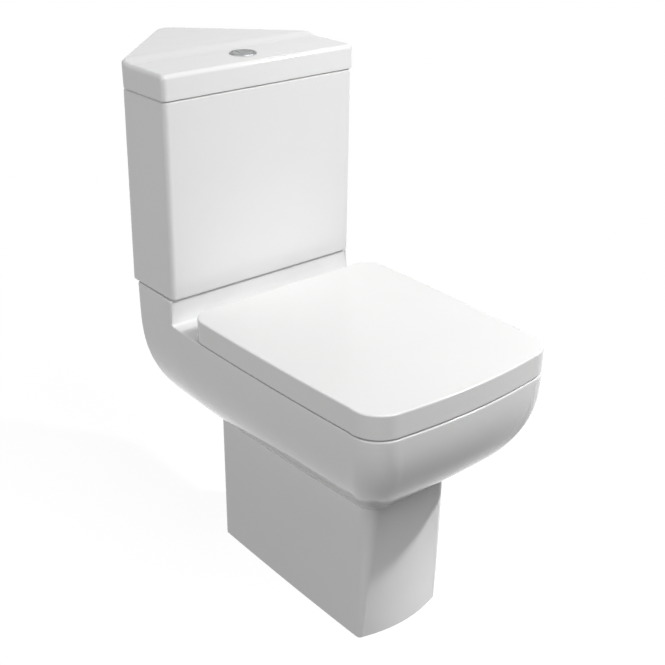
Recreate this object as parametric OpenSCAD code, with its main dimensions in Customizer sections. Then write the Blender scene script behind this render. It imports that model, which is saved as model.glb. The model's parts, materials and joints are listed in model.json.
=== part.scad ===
// Corner toilet: close-coupled pan, five-sided corner cistern, wrap-over seat and cistern fittings.
// +Z is up, the bowl's front points to -Y and the room's corner lies at +Y. Floor at z = 0.

/* [Overall] */
// Height of the rim and of the deck behind it
rim_height = 450; // [440:1:460]
// Widest part of the rim and the seat, half of it
rim_half_width = 182; // [181:0.1:183]
// Distance from the middle of the part to the front of the rim
rim_front = 384; // [380:1:388]
// Distance from the middle of the part to the flat back of the pan
pan_back = 212; // [210:1:214]

/* [Pan] */
// Thickness of the ceramic skin of the pan
skin = 12; // [11:0.5:13]
// Height of the line where the bowl meets the pedestal, at the back
junction_height = 240.4; // [239:0.1:242]
// How much higher that line is at the front
junction_rise = 10.8; // [8:0.1:12]
// Half width of the pedestal at the floor
foot_half_width = 86; // [84:0.5:88]
// Half width of the pedestal under the bowl
neck_half_width = 85; // [84:0.5:86]
// Distance from the middle to the front of the pedestal at the floor
foot_front = 256.5; // [254:0.5:258]
// Distance from the middle to the front of the pedestal under the bowl
neck_front = 260.5; // [259:0.5:262]
// Distance from the middle to the back of the pedestal at the floor
foot_back = 127.5; // [126:0.5:128]
// Distance from the middle to the back of the pedestal under the bowl
neck_back = 125; // [123:0.5:126]
// Half width of the mouth of the bowl
mouth_half_width = 126; // [122:1:128]
// Half length of the mouth of the bowl
mouth_half_length = 156; // [150:1:160]
// Top of the shelf that carries the cistern
shelf_top = 492; // [490:0.5:493]
// Height of the middle of the waste outlet
outlet_height = 180; // [178:1:184]
// Outside radius of the waste spigot
outlet_radius = 51; // [50:0.5:51.5]
// Radius of the bore of the waste spigot
outlet_bore = 43; // [42:0.5:44]

/* [Cistern] */
// Height of the underside of the cistern
tank_bottom = 493.5; // [493.1:0.1:494]
// Height of the top edge of the cistern body
tank_top = 808; // [800:1:812]
// Thickness of the cistern walls
tank_wall = 9; // [8:0.5:10]
// Half width of the lid
lid_half_width = 178; // [177:0.5:179]
// Distance from the middle to the front face of the lid
lid_front = 90; // [89:0.5:91]
// Length of the two short sides of the lid
lid_side = 116; // [114:1:118]
// Thickness of the lid at its front
lid_height = 38; // [36:1:40]
// How far the back of the lid stands above its front
lid_raise = 5; // [3:0.5:6]
// Thickness of the ceramic of the lid
lid_wall = 9; // [8:0.5:10]

/* [Seat] */
// Height of the top of the closed seat lid
seat_top = 490; // [488:1:492]
// Distance from the middle to the rear edge of the seat lid
seat_back = 50; // [48:1:51]
// Radius of the seat's two rear corners
seat_rear_corner = 32; // [28:1:34]
// Thickness of the seat lid's top
cover_plate = 6; // [5:0.5:6.5]
// Thickness of the seat lid's skirt
cover_skirt = 5; // [4:0.5:5]
// Thickness of the seat ring
ring_thickness = 18; // [16:0.5:18]
// Distance of the hinge axis from the middle
hinge_y = 37; // [36:0.5:38]
// Height of the hinge axis
hinge_z = 470; // [469.5:0.1:470.5]
// Half the distance between the two hinge posts
hinge_half_span = 77.5; // [77:0.5:78]

/* [Flush button] */
// Outside radius of the button's bezel
bezel_radius = 21.5; // [21:0.5:22]
// Distance of the button from the middle
button_y = 144; // [143:0.5:145]

/* [Cistern fittings] */
// Distance of the flush valve from the middle
valve_y = 158; // [157:0.5:159]
// Half the distance between the two coupling bolts
bolt_half_span = 75; // [74:0.5:76]
// Sideways place of the fill valve
fill_x = -85; // [-86:0.5:-84]
// Distance of the fill valve from the middle
fill_y = 245; // [244:0.5:246]
// Outside radius of the half-inch inlet thread
inlet_radius = 10.48; // [10.4:0.01:10.5]

/* [Hidden] */
ceramic = "#f4f5f5";
plastic_white = "#eeeeea";
chrome = "#9fa2a5";
brass = "#c9a85c";
rubber = "#2b2b2c";
fitting_grey = "#9aa4ad";
fitting_blue = "#3c6f9c";

gap = 0.3;               // room left between parts that move past each other
curve_fn = 72;

// Outline of the rim: sides are one long arc, front is a shallow arc, corners are rounded.
side_bow = 0.000092;     // sideways fall per square millimetre
side_bow_y = -25;        // where the rim is widest
rear_bow_share = 0.8;    // behind that the sides are straighter
front_bow = 0.00054;
front_corner = 49;
rear_corner = 6;
pedestal_side_bow = 0.00006;
foot_front_bow = 0.0022;
foot_corner = 8;
neck_front_bow = 0;
neck_corner = 24;

// How many points each stretch of an outline gets on one side of the part
rear_steps = 4;
corner_steps = 6;
side_steps = 12;
front_steps = 6;

function mix(a, b, t) = a + (b - a) * t;
function arc_points(cx, cy, r, a0, a1, n) =
    [for (i = [0:n - 1]) let (a = mix(a0, a1, i / (n - 1))) [cx + r * cos(a), cy + r * sin(a)]];

// One side of an outline from the rear centre to the front centre, x > 0.
// h: half width, bow: side bow, f: front distance, fbow: front bow, r: front corner,
// back: rear distance, rr: rear corner.
function side_x(h, bow, y) =
    h - bow * (y > side_bow_y ? rear_bow_share : 1) * (y - side_bow_y) * (y - side_bow_y);
function half_outline(h, bow, f, fbow, r, back, rr) =
    let (rear_w = side_x(h, bow, back - rr) - rr,
         front_w = side_x(h, bow, -f + r + r / 2) - r,
         corner_y = -f + r + fbow * front_w * front_w)
    concat(
        [for (i = [0:rear_steps - 1]) [rear_w * (i + 0.5) / rear_steps, back]],
        arc_points(rear_w, back - rr, rr, 90, 0, corner_steps),
        [for (i = [1:side_steps])
            let (y = mix(back - rr, corner_y, i / (side_steps + 1)))
            [side_x(h, bow, y), y]],
        arc_points(front_w, corner_y, r, 0, -90, corner_steps),
        [for (i = [1:front_steps])
            let (x = front_w * (1 - (i - 0.5) / front_steps))
            [x, -f + fbow * x * x]]);
function outline(h, bow, f, fbow, r, back, rr) =
    let (half = half_outline(h, bow, f, fbow, r, back, rr), n = len(half))
    concat(half, [for (i = [n - 1:-1:0]) [-half[i][0], half[i][1]]]);

// Squarish oval, met along the same directions as the rim outline's points.
mouth_y = -rim_front + 52 + mouth_half_length;
function rim_outline(inset) =
    outline(rim_half_width - inset, side_bow, rim_front - inset, front_bow,
            front_corner - inset / 2, pan_back - inset, rear_corner);
rim_directions = [for (p = rim_outline(0)) atan2(p[1] - mouth_y, p[0])];
squareness = 2.35;       // 2 would be a plain ellipse
function oval(b, c, y0) =
    [for (a = rim_directions)
        let (k = pow(pow(abs(cos(a)) / b, squareness) + pow(abs(sin(a)) / c, squareness),
                     -1 / squareness))
        [k * cos(a), y0 + k * sin(a)]];
function at(points, z) = [for (p = points) [p[0], p[1], z]];

// Bowl's outside: its width grows from the pedestal to the rim along this curve.
function swell(t) = pow(1 - pow(1 - t, 2.48), 1 / 0.972);
bead = 2;                // the bowl's skin starts this far above the pedestal's
rise_start = 100;
function rise(y) = junction_rise * max(0, rise_start - y) / (rise_start + neck_front);
bowl_foot_step = 1.5;
function bowl_outline(t, inset, back) =
    let (s = swell(t))
    outline(mix(neck_half_width + bowl_foot_step, rim_half_width, s) - inset,
            mix(pedestal_side_bow, side_bow, s),
            mix(neck_front + bowl_foot_step, rim_front, s) - inset,
            mix(neck_front_bow, front_bow, s),
            mix(neck_corner, front_corner, s) - inset / 3,
            back, rear_corner);
function pedestal_outline(t, inset) =
    outline(mix(foot_half_width, neck_half_width, t) - inset, pedestal_side_bow,
            mix(foot_front, neck_front, t) - inset, mix(foot_front_bow, neck_front_bow, t),
            mix(foot_corner, neck_corner, t) - inset / 3,
            mix(foot_back, neck_back, t) - inset, rear_corner);

// Inside of the bowl: [height, half width, half length, centre] of each ring.
water_y = -118;
bowl_depth = 65;
rim_lip = 42;
bowl_inside = [
    [rim_height, mouth_half_width + 3, mouth_half_length + 3, mouth_y],
    [rim_height - 3, mouth_half_width, mouth_half_length, mouth_y],
    [rim_height - rim_lip, mouth_half_width, mouth_half_length, mouth_y],
    [rim_height - rim_lip - 3, mouth_half_width + 8, mouth_half_length + 8, mouth_y],
    [rim_height - 80, mouth_half_width + 3, mouth_half_length + 2, mouth_y],
    [rim_height - 120, mouth_half_width - 16, mouth_half_length - 18, mouth_y + 8],
    [rim_height - 160, mouth_half_width - 42, mouth_half_length - 50, mouth_y + 22],
    [rim_height - 200, mouth_half_width - 66, mouth_half_length - 82, water_y - 22],
    [rim_height - 240, 50, 58, water_y - 18],
    [150, 46, 47, water_y - 9],
    [100, 44, 46, water_y],
    [bowl_depth + 8, 38, 42, water_y],
    [bowl_depth, 26, 30, water_y]];

hollow_back = 128;       // the double skin ends here; behind it are two open pockets
hollow_top = rim_height - skin;
bowl_levels = [0, 0.02, 0.07, 0.15, 0.25, 0.37, 0.5, 0.64, 0.78, 0.9, 0.97];
function bowl_z(t, y) = mix(junction_height + bead + rise(y), rim_height - 4, t);
// Points of an outline at the level t of the bowl, and along the junction
function at_level(points, t, drop, limit) =
    [for (p = points) [p[0], p[1], min(bowl_z(t, p[1]), limit) - drop]];
function at_junction(points, drop) =
    [for (p = points) [p[0], p[1], junction_height + rise(p[1]) - drop]];

// Rings of the pan's one closed skin, from the underside of the bowl, out and down the inside
// of the pedestal, up the outside and back down into the bowl.
pan_rings = concat(
    [for (i = [len(bowl_inside) - 1:-1:6])
        let (r = bowl_inside[i])
        at(oval(r[1] + skin, r[2] + skin, r[3]), r[0] - (i == len(bowl_inside) - 1 ? skin : 4))],
    [at(oval(mouth_half_width + 4, mouth_half_length - 2, mouth_y + 4), rim_height - 118)],
    [at(oval(mouth_half_width + 17, mouth_half_length + 16, mouth_y), rim_height - 72)],
    [at(oval(mouth_half_width + 19, mouth_half_length + 18, mouth_y), hollow_top)],
    [for (i = [len(bowl_levels) - 1:-1:1])
        at_level(bowl_outline(bowl_levels[i], skin, hollow_back), bowl_levels[i],
                 i == len(bowl_levels) - 1 ? 0 : 6, hollow_top)],
    [at_junction(pedestal_outline(1, skin), 10)],
    [at(pedestal_outline(0, skin), 0)],
    [at(pedestal_outline(0, 1.5), 0)],
    [at(pedestal_outline(0.006, 0), 1.5)],
    [for (t = [0.25, 0.5, 0.75])
        [for (p = pedestal_outline(t, 0)) [p[0], p[1], t * (junction_height + rise(p[1]))]]],
    [at_junction(pedestal_outline(1, 0), 0)],
    [for (t = bowl_levels) at_level(bowl_outline(t, 0, pan_back), t, 0, rim_height)],
    [at(rim_outline(0), rim_height - 4)],
    [at(rim_outline(1.2), rim_height - 1.2)],
    [at(rim_outline(4), rim_height)],
    [for (r = bowl_inside) at(oval(r[1], r[2], r[3]), r[0])]);

// Closed solid through a list of rings that all have the same number of points.
module skin_through(rings) {
    n = len(rings[0]);
    m = len(rings);
    first = [ring_middle(rings[0])];
    last = [ring_middle(rings[m - 1])];
    points = concat([for (r = rings) for (p = r) p], first, last);
    sides = [for (j = [0:m - 2]) for (i = [0:n - 1]) let (k = (i + 1) % n)
        each [[j * n + i, (j + 1) * n + k, (j + 1) * n + i],
              [j * n + i, j * n + k, (j + 1) * n + k]]];
    bottom = [for (i = [0:n - 1]) [m * n, (i + 1) % n, i]];
    top = [for (i = [0:n - 1]) [m * n + 1, (m - 1) * n + i, (m - 1) * n + (i + 1) % n]];
    polyhedron(points = points, faces = concat(sides, bottom, top), convexity = 12);
}
function ring_middle(ring) =
    [0, (max([for (p = ring) p[1]]) + min([for (p = ring) p[1]])) / 2, ring[0][2]];

// Extrudes a Y-Z outline across the part, and an X-Z outline along it.
module across(half_width) {
    rotate([90, 0, 90]) linear_extrude(2 * half_width, center = true) children();
}
module along(y0, y1) {
    translate([0, y1, 0]) rotate([90, 0, 0]) linear_extrude(y1 - y0) children();
}
module tube(r_out, r_in, z0, z1) {
    difference() {
        translate([0, 0, z0]) cylinder(h = z1 - z0, r = r_out, $fn = curve_fn);
        translate([0, 0, z0 - 1]) cylinder(h = z1 - z0 + 2, r = r_in, $fn = curve_fn);
    }
}
module rod(r, z0, z1) {
    translate([0, 0, z0]) cylinder(h = z1 - z0, r = r, $fn = curve_fn);
}
module hex(across_flats, z0, z1) {
    translate([0, 0, z0]) cylinder(h = z1 - z0, d = across_flats / cos(30), $fn = 6);
}
module hex_nut(across_flats, r_in, z0, z1) {
    difference() {
        hex(across_flats, z0, z1);
        rod(r_in, z0 - 1, z1 + 1);
    }
}
// Wing nut that tightens upwards, its collar at the top
module wing_nut(r_in, z0, z1, reach) {
    wing = 3;
    difference() {
        union() {
            rod(reach * 0.42, z0, z1);
            translate([-reach, -wing / 2, z0 - 5]) cube([2 * reach, wing, z1 - z0 + 2]);
        }
        rod(r_in, z0 - 9, z1 + 1);
    }
}
module both_sides(x) {
    for (s = [-1, 1]) translate([s * x, 0, 0]) children();
}

/* ---- Pan ---- */
shelf_front = 106;
shelf_cove = 6;
shelf_edge = 6;
module shelf_profile() {
    polygon(concat(
        [[pan_back, rim_height - 12], [shelf_front - shelf_cove, rim_height - 12]],
        [[shelf_front - shelf_cove, rim_height]],
        [for (i = [1:7]) let (a = -90 + 90 * i / 8)
            [shelf_front - shelf_cove + shelf_cove * cos(a),
             rim_height + shelf_cove + shelf_cove * sin(a)]],
        [[shelf_front, rim_height + shelf_cove]],
        arc_points(shelf_front + shelf_edge, shelf_top - shelf_edge, shelf_edge, 180, 90, 5),
        [[pan_back, shelf_top]]));
}
module shelf_section() {
    w = side_x(rim_half_width, side_bow, shelf_front + 40);
    polygon(concat(
        [[-w - 8, rim_height - 12], [w + 8, rim_height - 12], [w + 8, shelf_top - shelf_edge - 1]],
        arc_points(w - shelf_edge, shelf_top - shelf_edge, shelf_edge + 0.1, 0, 90, 5),
        arc_points(-w + shelf_edge, shelf_top - shelf_edge, shelf_edge + 0.1, 90, 180, 5),
        [[-w - 8, shelf_top - shelf_edge - 1]]));
}
module shelf() {
    intersection() {
        across(rim_half_width + 10) shelf_profile();
        along(0, pan_back + 5) shelf_section();
        translate([0, 0, rim_height - 20]) linear_extrude(80)
            polygon(rim_outline(0.4));
    }
}
// The way out of the bowl: up over the weir and down to the spigot
trap_inlet = [0, water_y + 52, 95];
weir = [0, -1, 218];
trap_outlet = [0, 74, outlet_height];
trap_radius = 30;
module leg(from, to, r) {
    d = to - from;
    translate(from)
        rotate([-atan2(sqrt(d[0] * d[0] + d[1] * d[1]), d[2]), 0, 0])
            cylinder(h = norm(d), r = r, $fn = curve_fn);
}
module trapway(grow) {
    r = trap_radius + grow;
    leg(trap_inlet, weir, r);
    leg(weir, trap_outlet, r);
    translate(weir) sphere(r = r + 1.5, $fn = curve_fn);
    translate(trap_outlet) sphere(r = r + 5.5, $fn = curve_fn);
}
spigot_end = 172;
spigot_shoulder = 127;   // from here on the spigot has the size that the pan connector grips
spigot_step = 1.5;
module spigot(r, y0, y1) {
    translate([0, y0, outlet_height]) rotate([-90, 0, 0])
        cylinder(h = y1 - y0, r = r, $fn = curve_fn);
}
// Open pocket at the back of the pan, where the wing nuts of the coupling bolts are reached
module back_pocket() {
    polygon([[54, shelf_top - 14], [160, shelf_top - 14], [160, 410], [150, 366],
             [122, 306], [96, 268], [54, 268]]);
}
inlet_pit_radius = 47;
inlet_pit_depth = 22;
flush_bore = 28;
rim_feed_z = 392;        // the flush water reaches the bowl just under the rim
rim_feed_r = 10;
hinge_hole_y = 62;
hinge_hole = 7;
lug_half_width = 62;
floor_hole_x = 45;
floor_hole_y = 142;
floor_hole = 6;
module rim_feed(r, y0) {
    translate([0, y0, rim_feed_z]) rotate([-90, 0, 0])
        cylinder(h = valve_y - y0, r = r, $fn = curve_fn);
}
module pan() color(ceramic) difference() {
    union() {
        skin_through(pan_rings);
        shelf();
        trapway(9);
        rim_feed(rim_feed_r + 9, -6);
        spigot(outlet_radius - spigot_step, trap_outlet[1], spigot_shoulder + 1);
        spigot(outlet_radius, spigot_shoulder, spigot_end);
        translate([-lug_half_width, foot_back - 8, 0]) cube([2 * lug_half_width, 36, 12]);
    }
    trapway(0);
    spigot(outlet_bore, trap_outlet[1], spigot_end + 5);
    translate([0, valve_y, 0]) {
        rod(inlet_pit_radius, shelf_top - inlet_pit_depth, shelf_top + 5);
        rod(flush_bore, rim_feed_z - rim_feed_r - 4, shelf_top);
    }
    rim_feed(rim_feed_r, -30);
    for (s = [0, 1]) mirror([s, 0, 0]) along(140, pan_back + 10) back_pocket();
    both_sides(bolt_half_span) translate([0, valve_y, 0]) rod(5.5, 440, shelf_top + 5);
    both_sides(hinge_half_span) translate([0, hinge_hole_y, 0]) rod(hinge_hole, 420, rim_height + 5);
    both_sides(floor_hole_x) translate([0, floor_hole_y, 0]) rod(floor_hole, -1, 20);
}

/* ---- Cistern ---- */
// Five-sided outline: front, two sides and two faces at 45 degrees to the room's corner.
// w: half width, y0: front, y1: end of the sides, tip: cut of the rear corner, r: front corner
function corner_outline(w, y0, y1, tip, r, rs, inset) =
    let (hw = w - inset,
         front = y0 + inset,
         reach = w + y1 - inset * sqrt(2),
         cut = min(tip, reach),
         a = tan(22.5) * rs)
    concat(
        arc_points(hw - r, front + r, r, -90, 0, 5),
        arc_points(hw - rs, reach - hw - a, rs, 0, 45, 4),
        arc_points(reach - cut + 0.8 * rs * tan(22.5), cut - rs, rs, 45, 90, 4));
function corner_plan(w, y0, y1, tip, r, rs, inset) =
    let (half = corner_outline(w, y0, y1, tip, r, rs, inset), n = len(half))
    concat(half, [for (i = [n - 1:-1:0]) [-half[i][0], half[i][1]]]);

tank_inset = 1.5;
tank_lean = 9;           // the front face leans in towards the bottom
tank_top_side = 210;
tank_low_side = 222;
tip_limit = rim_front;
module slab(points, z, h) {
    translate([0, 0, z]) linear_extrude(h) polygon(points);
}
module tank_outside() {
    hull() {
        slab(corner_plan(lid_half_width, lid_front + tank_inset + tank_lean, tank_low_side,
                         tip_limit, 9, 12, 0), tank_bottom, 0.5);
        slab(corner_plan(lid_half_width - tank_inset, lid_front + tank_inset, tank_top_side - 1,
                         tip_limit - 4, 9, 12, 0), tank_top - 0.5, 0.5);
    }
}
module tank_inside() {
    hull() {
        slab(corner_plan(lid_half_width, lid_front + tank_inset + tank_lean, tank_low_side,
                         tip_limit - tank_wall, 9, 12, tank_wall), tank_bottom + tank_wall + 1, 0.5);
        slab(corner_plan(lid_half_width - tank_inset, lid_front + tank_inset, tank_top_side - 1,
                         tip_limit - 4 - tank_wall, 9, 12, tank_wall), tank_top + 20, 1);
    }
}
tank_floor = tank_bottom + tank_wall + 1;
wall_reach = 400;        // |x| + y of the two walls that the cistern stands against
wall_hole_z = 752;
wall_hole = 4;
wall_hole_x = 92;
module wall_boss_place() {
    for (s = [-1, 1])
        translate([s * wall_hole_x, wall_reach - wall_hole_x, wall_hole_z])
            rotate([-90, 0, -s * 45]) children();
}
module cistern_body() color(ceramic) difference() {
    union() {
        difference() {
            tank_outside();
            tank_inside();
        }
        wall_boss_place() translate([0, 0, -16]) cylinder(h = 16, r = 13, $fn = curve_fn);
    }
    wall_boss_place() translate([0, 0, -40]) cylinder(h = 60, r = wall_hole, $fn = curve_fn);
    translate([0, valve_y, 0]) rod(31, tank_bottom - 5, tank_floor + 5);
    both_sides(bolt_half_span) translate([0, valve_y, 0]) rod(5.5, tank_bottom - 5, tank_floor + 5);
    translate([fill_x, fill_y, 0]) rod(11.5, tank_bottom - 5, tank_floor + 5);
}

lid_bottom = tank_top + 1.5;
lid_top = tank_top + 2 + lid_height;
lid_edge = 11;
lid_step_y = 178;        // the raised back starts here
lid_step = 34;
function soft_step(t) = t * t * (3 - 2 * t);
module lid_profile() {
    polygon(concat(
        [[lid_front + 420, lid_bottom - 20], [lid_front, lid_bottom - 20]],
        arc_points(lid_front + lid_edge, lid_top - lid_edge, lid_edge, 180, 96, 7),
        [for (i = [0:8]) [lid_step_y + lid_step * i / 8, lid_top + lid_raise * soft_step(i / 8)]],
        [[lid_front + 420, lid_top + lid_raise]]));
}
module lid_section() {
    w = lid_half_width;
    side_edge = 6;
    polygon(concat(
        [[-w, lid_bottom - 20], [w, lid_bottom - 20]],
        arc_points(w - side_edge, lid_top + lid_raise - side_edge - 4, side_edge, 0, 60, 5),
        [[w - side_edge - 12, lid_top + lid_raise], [-w + side_edge + 12, lid_top + lid_raise]],
        arc_points(-w + side_edge, lid_top + lid_raise - side_edge - 4, side_edge, 120, 180, 5)));
}
function lid_plan(inset) =
    corner_plan(lid_half_width, lid_front, lid_front + lid_side, tip_limit - 4 - inset, 9, 12, inset);
button_hole = 19;
module cistern_lid() color(ceramic) difference() {
    union() {
        intersection() {
            slab(lid_plan(0), tank_top + gap, 80);
            across(lid_half_width + 1) lid_profile();
            along(0, 420) lid_section();
        }
        slab(lid_plan(tank_wall + 4), tank_top - 9, 20);
    }
    difference() {
        slab(lid_plan(-5), tank_top - 1, lid_bottom - tank_top + 1);
        slab(lid_plan(3.5), tank_top - 2, 10);
    }
    slab(lid_plan(tank_wall + 10), tank_top - 20, lid_top - lid_wall - tank_top + 20);
    translate([0, button_y, 0]) rod(button_hole, lid_top - 40, lid_top + 20);
}

/* ---- Flush button ---- */
bezel_top = lid_top + 2;
module at_button() {
    translate([0, button_y, 0]) children();
}
module button_bezel() color(chrome) at_button() difference() {
    union() {
        rod(bezel_radius, lid_top, bezel_top);
        rod(button_hole - 1, lid_top - 30, bezel_top);
    }
    rod(17, lid_top - 26, bezel_top + 5);
    for (x = [-8, 8]) translate([x, -6, 0]) rod(3.2, lid_top - 35, lid_top);
}
lid_under = lid_top - lid_wall;
gasket_high = 1.5;
ring_nut_high = 7;
nut_grips = 8;
module button_gasket() color(rubber) at_button()
    tube(25, button_hole - 0.5, lid_under - gasket_high, lid_under);
module button_nut() color(plastic_white) at_button() {
    low = lid_under - gasket_high - ring_nut_high;
    tube(24, button_hole - 1, low, low + ring_nut_high);
    for (i = [0:nut_grips - 1]) rotate([0, 0, 360 * i / nut_grips])
        translate([22, -2.5, low]) cube([5.5, 5, ring_nut_high]);
}
split = 0.4;
cap_low = lid_top - 9;
// A dished disc cut in two by a straight line; side +1 is the large button
module half_button(side) {
    at_button() difference() {
        rod(17 - 0.35, cap_low, bezel_top - 0.5);
        translate([side > 0 ? -40 : -3 - split, -40, cap_low - 1])
            cube([side > 0 ? 37 + split : 40, 80, 30]);
        rod(14.5, cap_low - 1, bezel_top - 3);
    }
}
rod_y = -6;
module push_rod(x) {
    at_button() translate([x, rod_y, 0]) {
        rod(2.6, 750, bezel_top - 3);
        rod(4, cap_low, cap_low + 3);
        rod(4.2, 750, 753);
    }
}
module full_flush_button() color(chrome) half_button(1);
module half_flush_button() color(chrome) half_button(-1);
module full_push_rod() color(plastic_white) push_rod(8);
module half_push_rod() color(plastic_white) push_rod(-8);
// Small coil spring around a push rod
spring_r = 3.7;
wire_r = 0.35;
spring_turns = 4;
spring_sides = 6;
spring_low = lid_top - 26 + wire_r + 0.1;
spring_high = cap_low - wire_r - 0.1;
spring_steps = 12;
spring_rings = [for (i = [0:spring_turns * spring_steps])
    let (a = 360 * i / spring_steps, z = mix(spring_low, spring_high, i / (spring_turns * spring_steps)))
    [for (k = [0:spring_sides - 1]) let (b = 360 * k / spring_sides, r = spring_r + wire_r * cos(b))
        [r * cos(a), r * sin(a), z + wire_r * sin(b)]]];
module coil() {
    n = spring_sides;
    m = len(spring_rings);
    polyhedron(points = [for (r = spring_rings) for (p = r) p],
        faces = concat(
            [for (j = [0:m - 2]) for (i = [0:n - 1]) let (k = (i + 1) % n)
                each [[j * n + i, (j + 1) * n + i, (j + 1) * n + k],
                      [j * n + i, (j + 1) * n + k, j * n + k]]],
            [[for (i = [0:n - 1]) i]],
            [[for (i = [n - 1:-1:0]) (m - 1) * n + i]]), convexity = 8);
}
module full_button_spring() color(chrome) at_button() translate([8, rod_y, 0]) coil();
module half_button_spring() color(chrome) at_button() translate([-8, rod_y, 0]) coil();

/* ---- Flush valve ---- */
module at_valve() {
    translate([0, valve_y, 0]) children();
}
washer = 3;
valve_seat = tank_floor + washer + 8;
module flush_valve_base() color(fitting_grey) at_valve() {
    difference() {
        union() {
            rod(29, 474, tank_floor + washer + 1);
            rod(40, tank_floor + washer, tank_floor + washer + 4);
            rod(30, tank_floor + washer + 3, valve_seat);
        }
        rod(24, 470, valve_seat + 1);
    }
    for (a = [45:90:315]) rotate(a) translate([33, -4, tank_floor + washer + 3.5])
        cube([6, 8, 52]);
}
tower_low = tank_floor + washer + 55.5;
tower_top = 735;
module flush_valve_tower() color(fitting_grey) at_valve() difference() {
    union() {
        tube(40, 33, tower_low, tower_low + 10);
        tube(33.5, 31, tower_low, tower_top);
    }
    for (z = [tower_low + 30, tower_low + 80]) translate([-50, -7, z]) cube([100, 14, 34]);
}
module flush_valve_cap() color(fitting_blue) at_valve() {
    difference() {
        union() {
            rod(35.5, tower_top, tower_top + 6);
            tube(30.7, 28, tower_top - 8, tower_top + 1);
        }
        rod(17, tower_top - 10, tower_top + 10);
    }
}
module lift_tube() color(plastic_white) at_valve() {
    tube(15.5, 13.5, valve_seat + 5, 732);
    tube(28, 13.5, valve_seat + 3, valve_seat + 6);
    tube(22, 15, valve_seat - 2, valve_seat + 3.5);
}
module flush_seal() color(rubber) at_valve() tube(29, 22, valve_seat + gap, valve_seat + 3);
module flush_valve_washer() color(rubber) at_valve() tube(42, 29, tank_floor, tank_floor + washer);
module flush_valve_nut() color(fitting_grey) at_valve() difference() {
    rod(37, tank_bottom - 12, tank_bottom);
    rod(29, tank_bottom - 15, tank_bottom + 5);
    for (a = [0:30:330]) rotate(a) translate([38, 0, 0]) rod(3, tank_bottom - 15, tank_bottom + 5);
}
module doughnut_seal() color(rubber) at_valve()
    tube(46.5, 37.5, shelf_top - inlet_pit_depth, tank_bottom);

/* ---- Coupling bolts ---- */
bolt_r = 4;
module at_bolts() {
    both_sides(bolt_half_span) translate([0, valve_y, 0]) children();
}
module coupling_bolts() color(brass) at_bolts() {
    rod(bolt_r, 440, tank_floor + washer + 2.5);
    rod(9, tank_floor + washer + 2, tank_floor + washer + 6);
}
module coupling_rubber_washers() color(rubber) at_bolts()
    tube(13, bolt_r, tank_floor, tank_floor + washer);
module coupling_head_washers() color(brass) at_bolts()
    tube(11, bolt_r, tank_floor + washer, tank_floor + washer + 2);
module coupling_under_washers() color(brass) at_bolts()
    tube(13, bolt_r, shelf_top - 16, shelf_top - 14);
module coupling_wing_nuts() color(brass) at_bolts()
    wing_nut(bolt_r, shelf_top - 26, shelf_top - 16, 16);

/* ---- Fill valve ---- */
module at_fill() {
    translate([fill_x, fill_y, 0]) children();
}
fill_head = 742;
lever_x = -7;
lever_z = fill_head + 14;
lever_pin_r = 1.6;
module lever_axis(y0, length, r) {
    translate([lever_x, y0, lever_z]) rotate([-90, 0, 0]) cylinder(h = length, r = r, $fn = 24);
}
tail_low = 440;
tail_length = 40;        // the supply pipe's nut screws on over this length
tail_relief = 0.3;
module fill_valve_body() color(plastic_white) at_fill() difference() {
    union() {
        rod(inlet_radius, tail_low, tail_low + tail_length);
        rod(inlet_radius - tail_relief, tail_low + tail_length - 1, tank_floor + washer + 1);
        rod(17, tank_floor + washer, tank_floor + washer + 4);
        rod(11, tank_floor + washer + 3, fill_head);
        rod(18, fill_head - 14, fill_head);
        translate([lever_x - 3, -5, fill_head - 1]) cube([6, 10, lever_z - fill_head + 5]);
    }
    rod(6, tail_low - 10, fill_head - 8);
    lever_axis(-20, 40, lever_pin_r);
}
module inlet_filter() color(fitting_blue) at_fill() difference() {
    rod(5.9, tail_low + 1, tail_low + 22);
    rod(4.6, tail_low, tail_low + 20);
    for (z = [5, 10, 15]) translate([-8, -1, tail_low + z]) cube([16, 2, 3]);
}
module fill_valve_washer() color(rubber) at_fill()
    tube(16, inlet_radius - tail_relief, tank_floor, tank_floor + washer);
module fill_valve_nut() color(plastic_white) at_fill()
    hex_nut(30, inlet_radius - tail_relief, tank_bottom - 10, tank_bottom);
float_low = 676;
module float_cup() color(fitting_blue) at_fill() difference() {
    rod(21, float_low, float_low + 40);
    rod(11.6, float_low - 1, float_low + 41);
    difference() {
        rod(19, float_low - 1, float_low + 36);
        rod(13.6, float_low - 2, float_low + 37);
    }
}
link_x = 24;
bar_y = 5.5;             // the lever has two bars, this far each side of its middle
bar = 2.5;
link_pin_r = 1;
module float_link() color(brass) at_fill() {
    translate([link_x, 0, 0]) rod(1.4, float_low + 8, lever_z + 2);
    translate([link_x, -bar_y - bar - 1, lever_z]) rotate([-90, 0, 0])
        cylinder(h = 2 * (bar_y + bar + 1), r = link_pin_r, $fn = 24);
    translate([21, -3, float_low + 5]) cube([6, 6, 6]);
}
module float_lever() color(plastic_white) at_fill() difference() {
    union() {
        for (y = [-bar_y - bar, bar_y])
            translate([lever_x - 4, y, lever_z - 4]) cube([link_x + 22, bar, 8]);
        translate([0, -bar_y - bar, lever_z + 1.5]) cube([4, 2 * (bar_y + bar), 2.5]);
        translate([link_x + 8.5, -bar_y - bar, lever_z - 4]) cube([2.5, 2 * (bar_y + bar), 8]);
    }
    lever_axis(-20, 40, lever_pin_r);
    translate([link_x - 1.5, -20, lever_z - 1.5]) cube([5, 40, 3.4]);
}
module float_lever_pin() color(brass) at_fill()
    lever_axis(-bar_y - bar - 1, 2 * (bar_y + bar + 1), lever_pin_r - 0.05);

/* ---- Seat ---- */
function seat_outline(inset) =
    outline(rim_half_width - inset, side_bow, rim_front - inset, front_bow,
            front_corner - inset / 2, seat_back - inset, seat_rear_corner - inset / 2);
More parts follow.
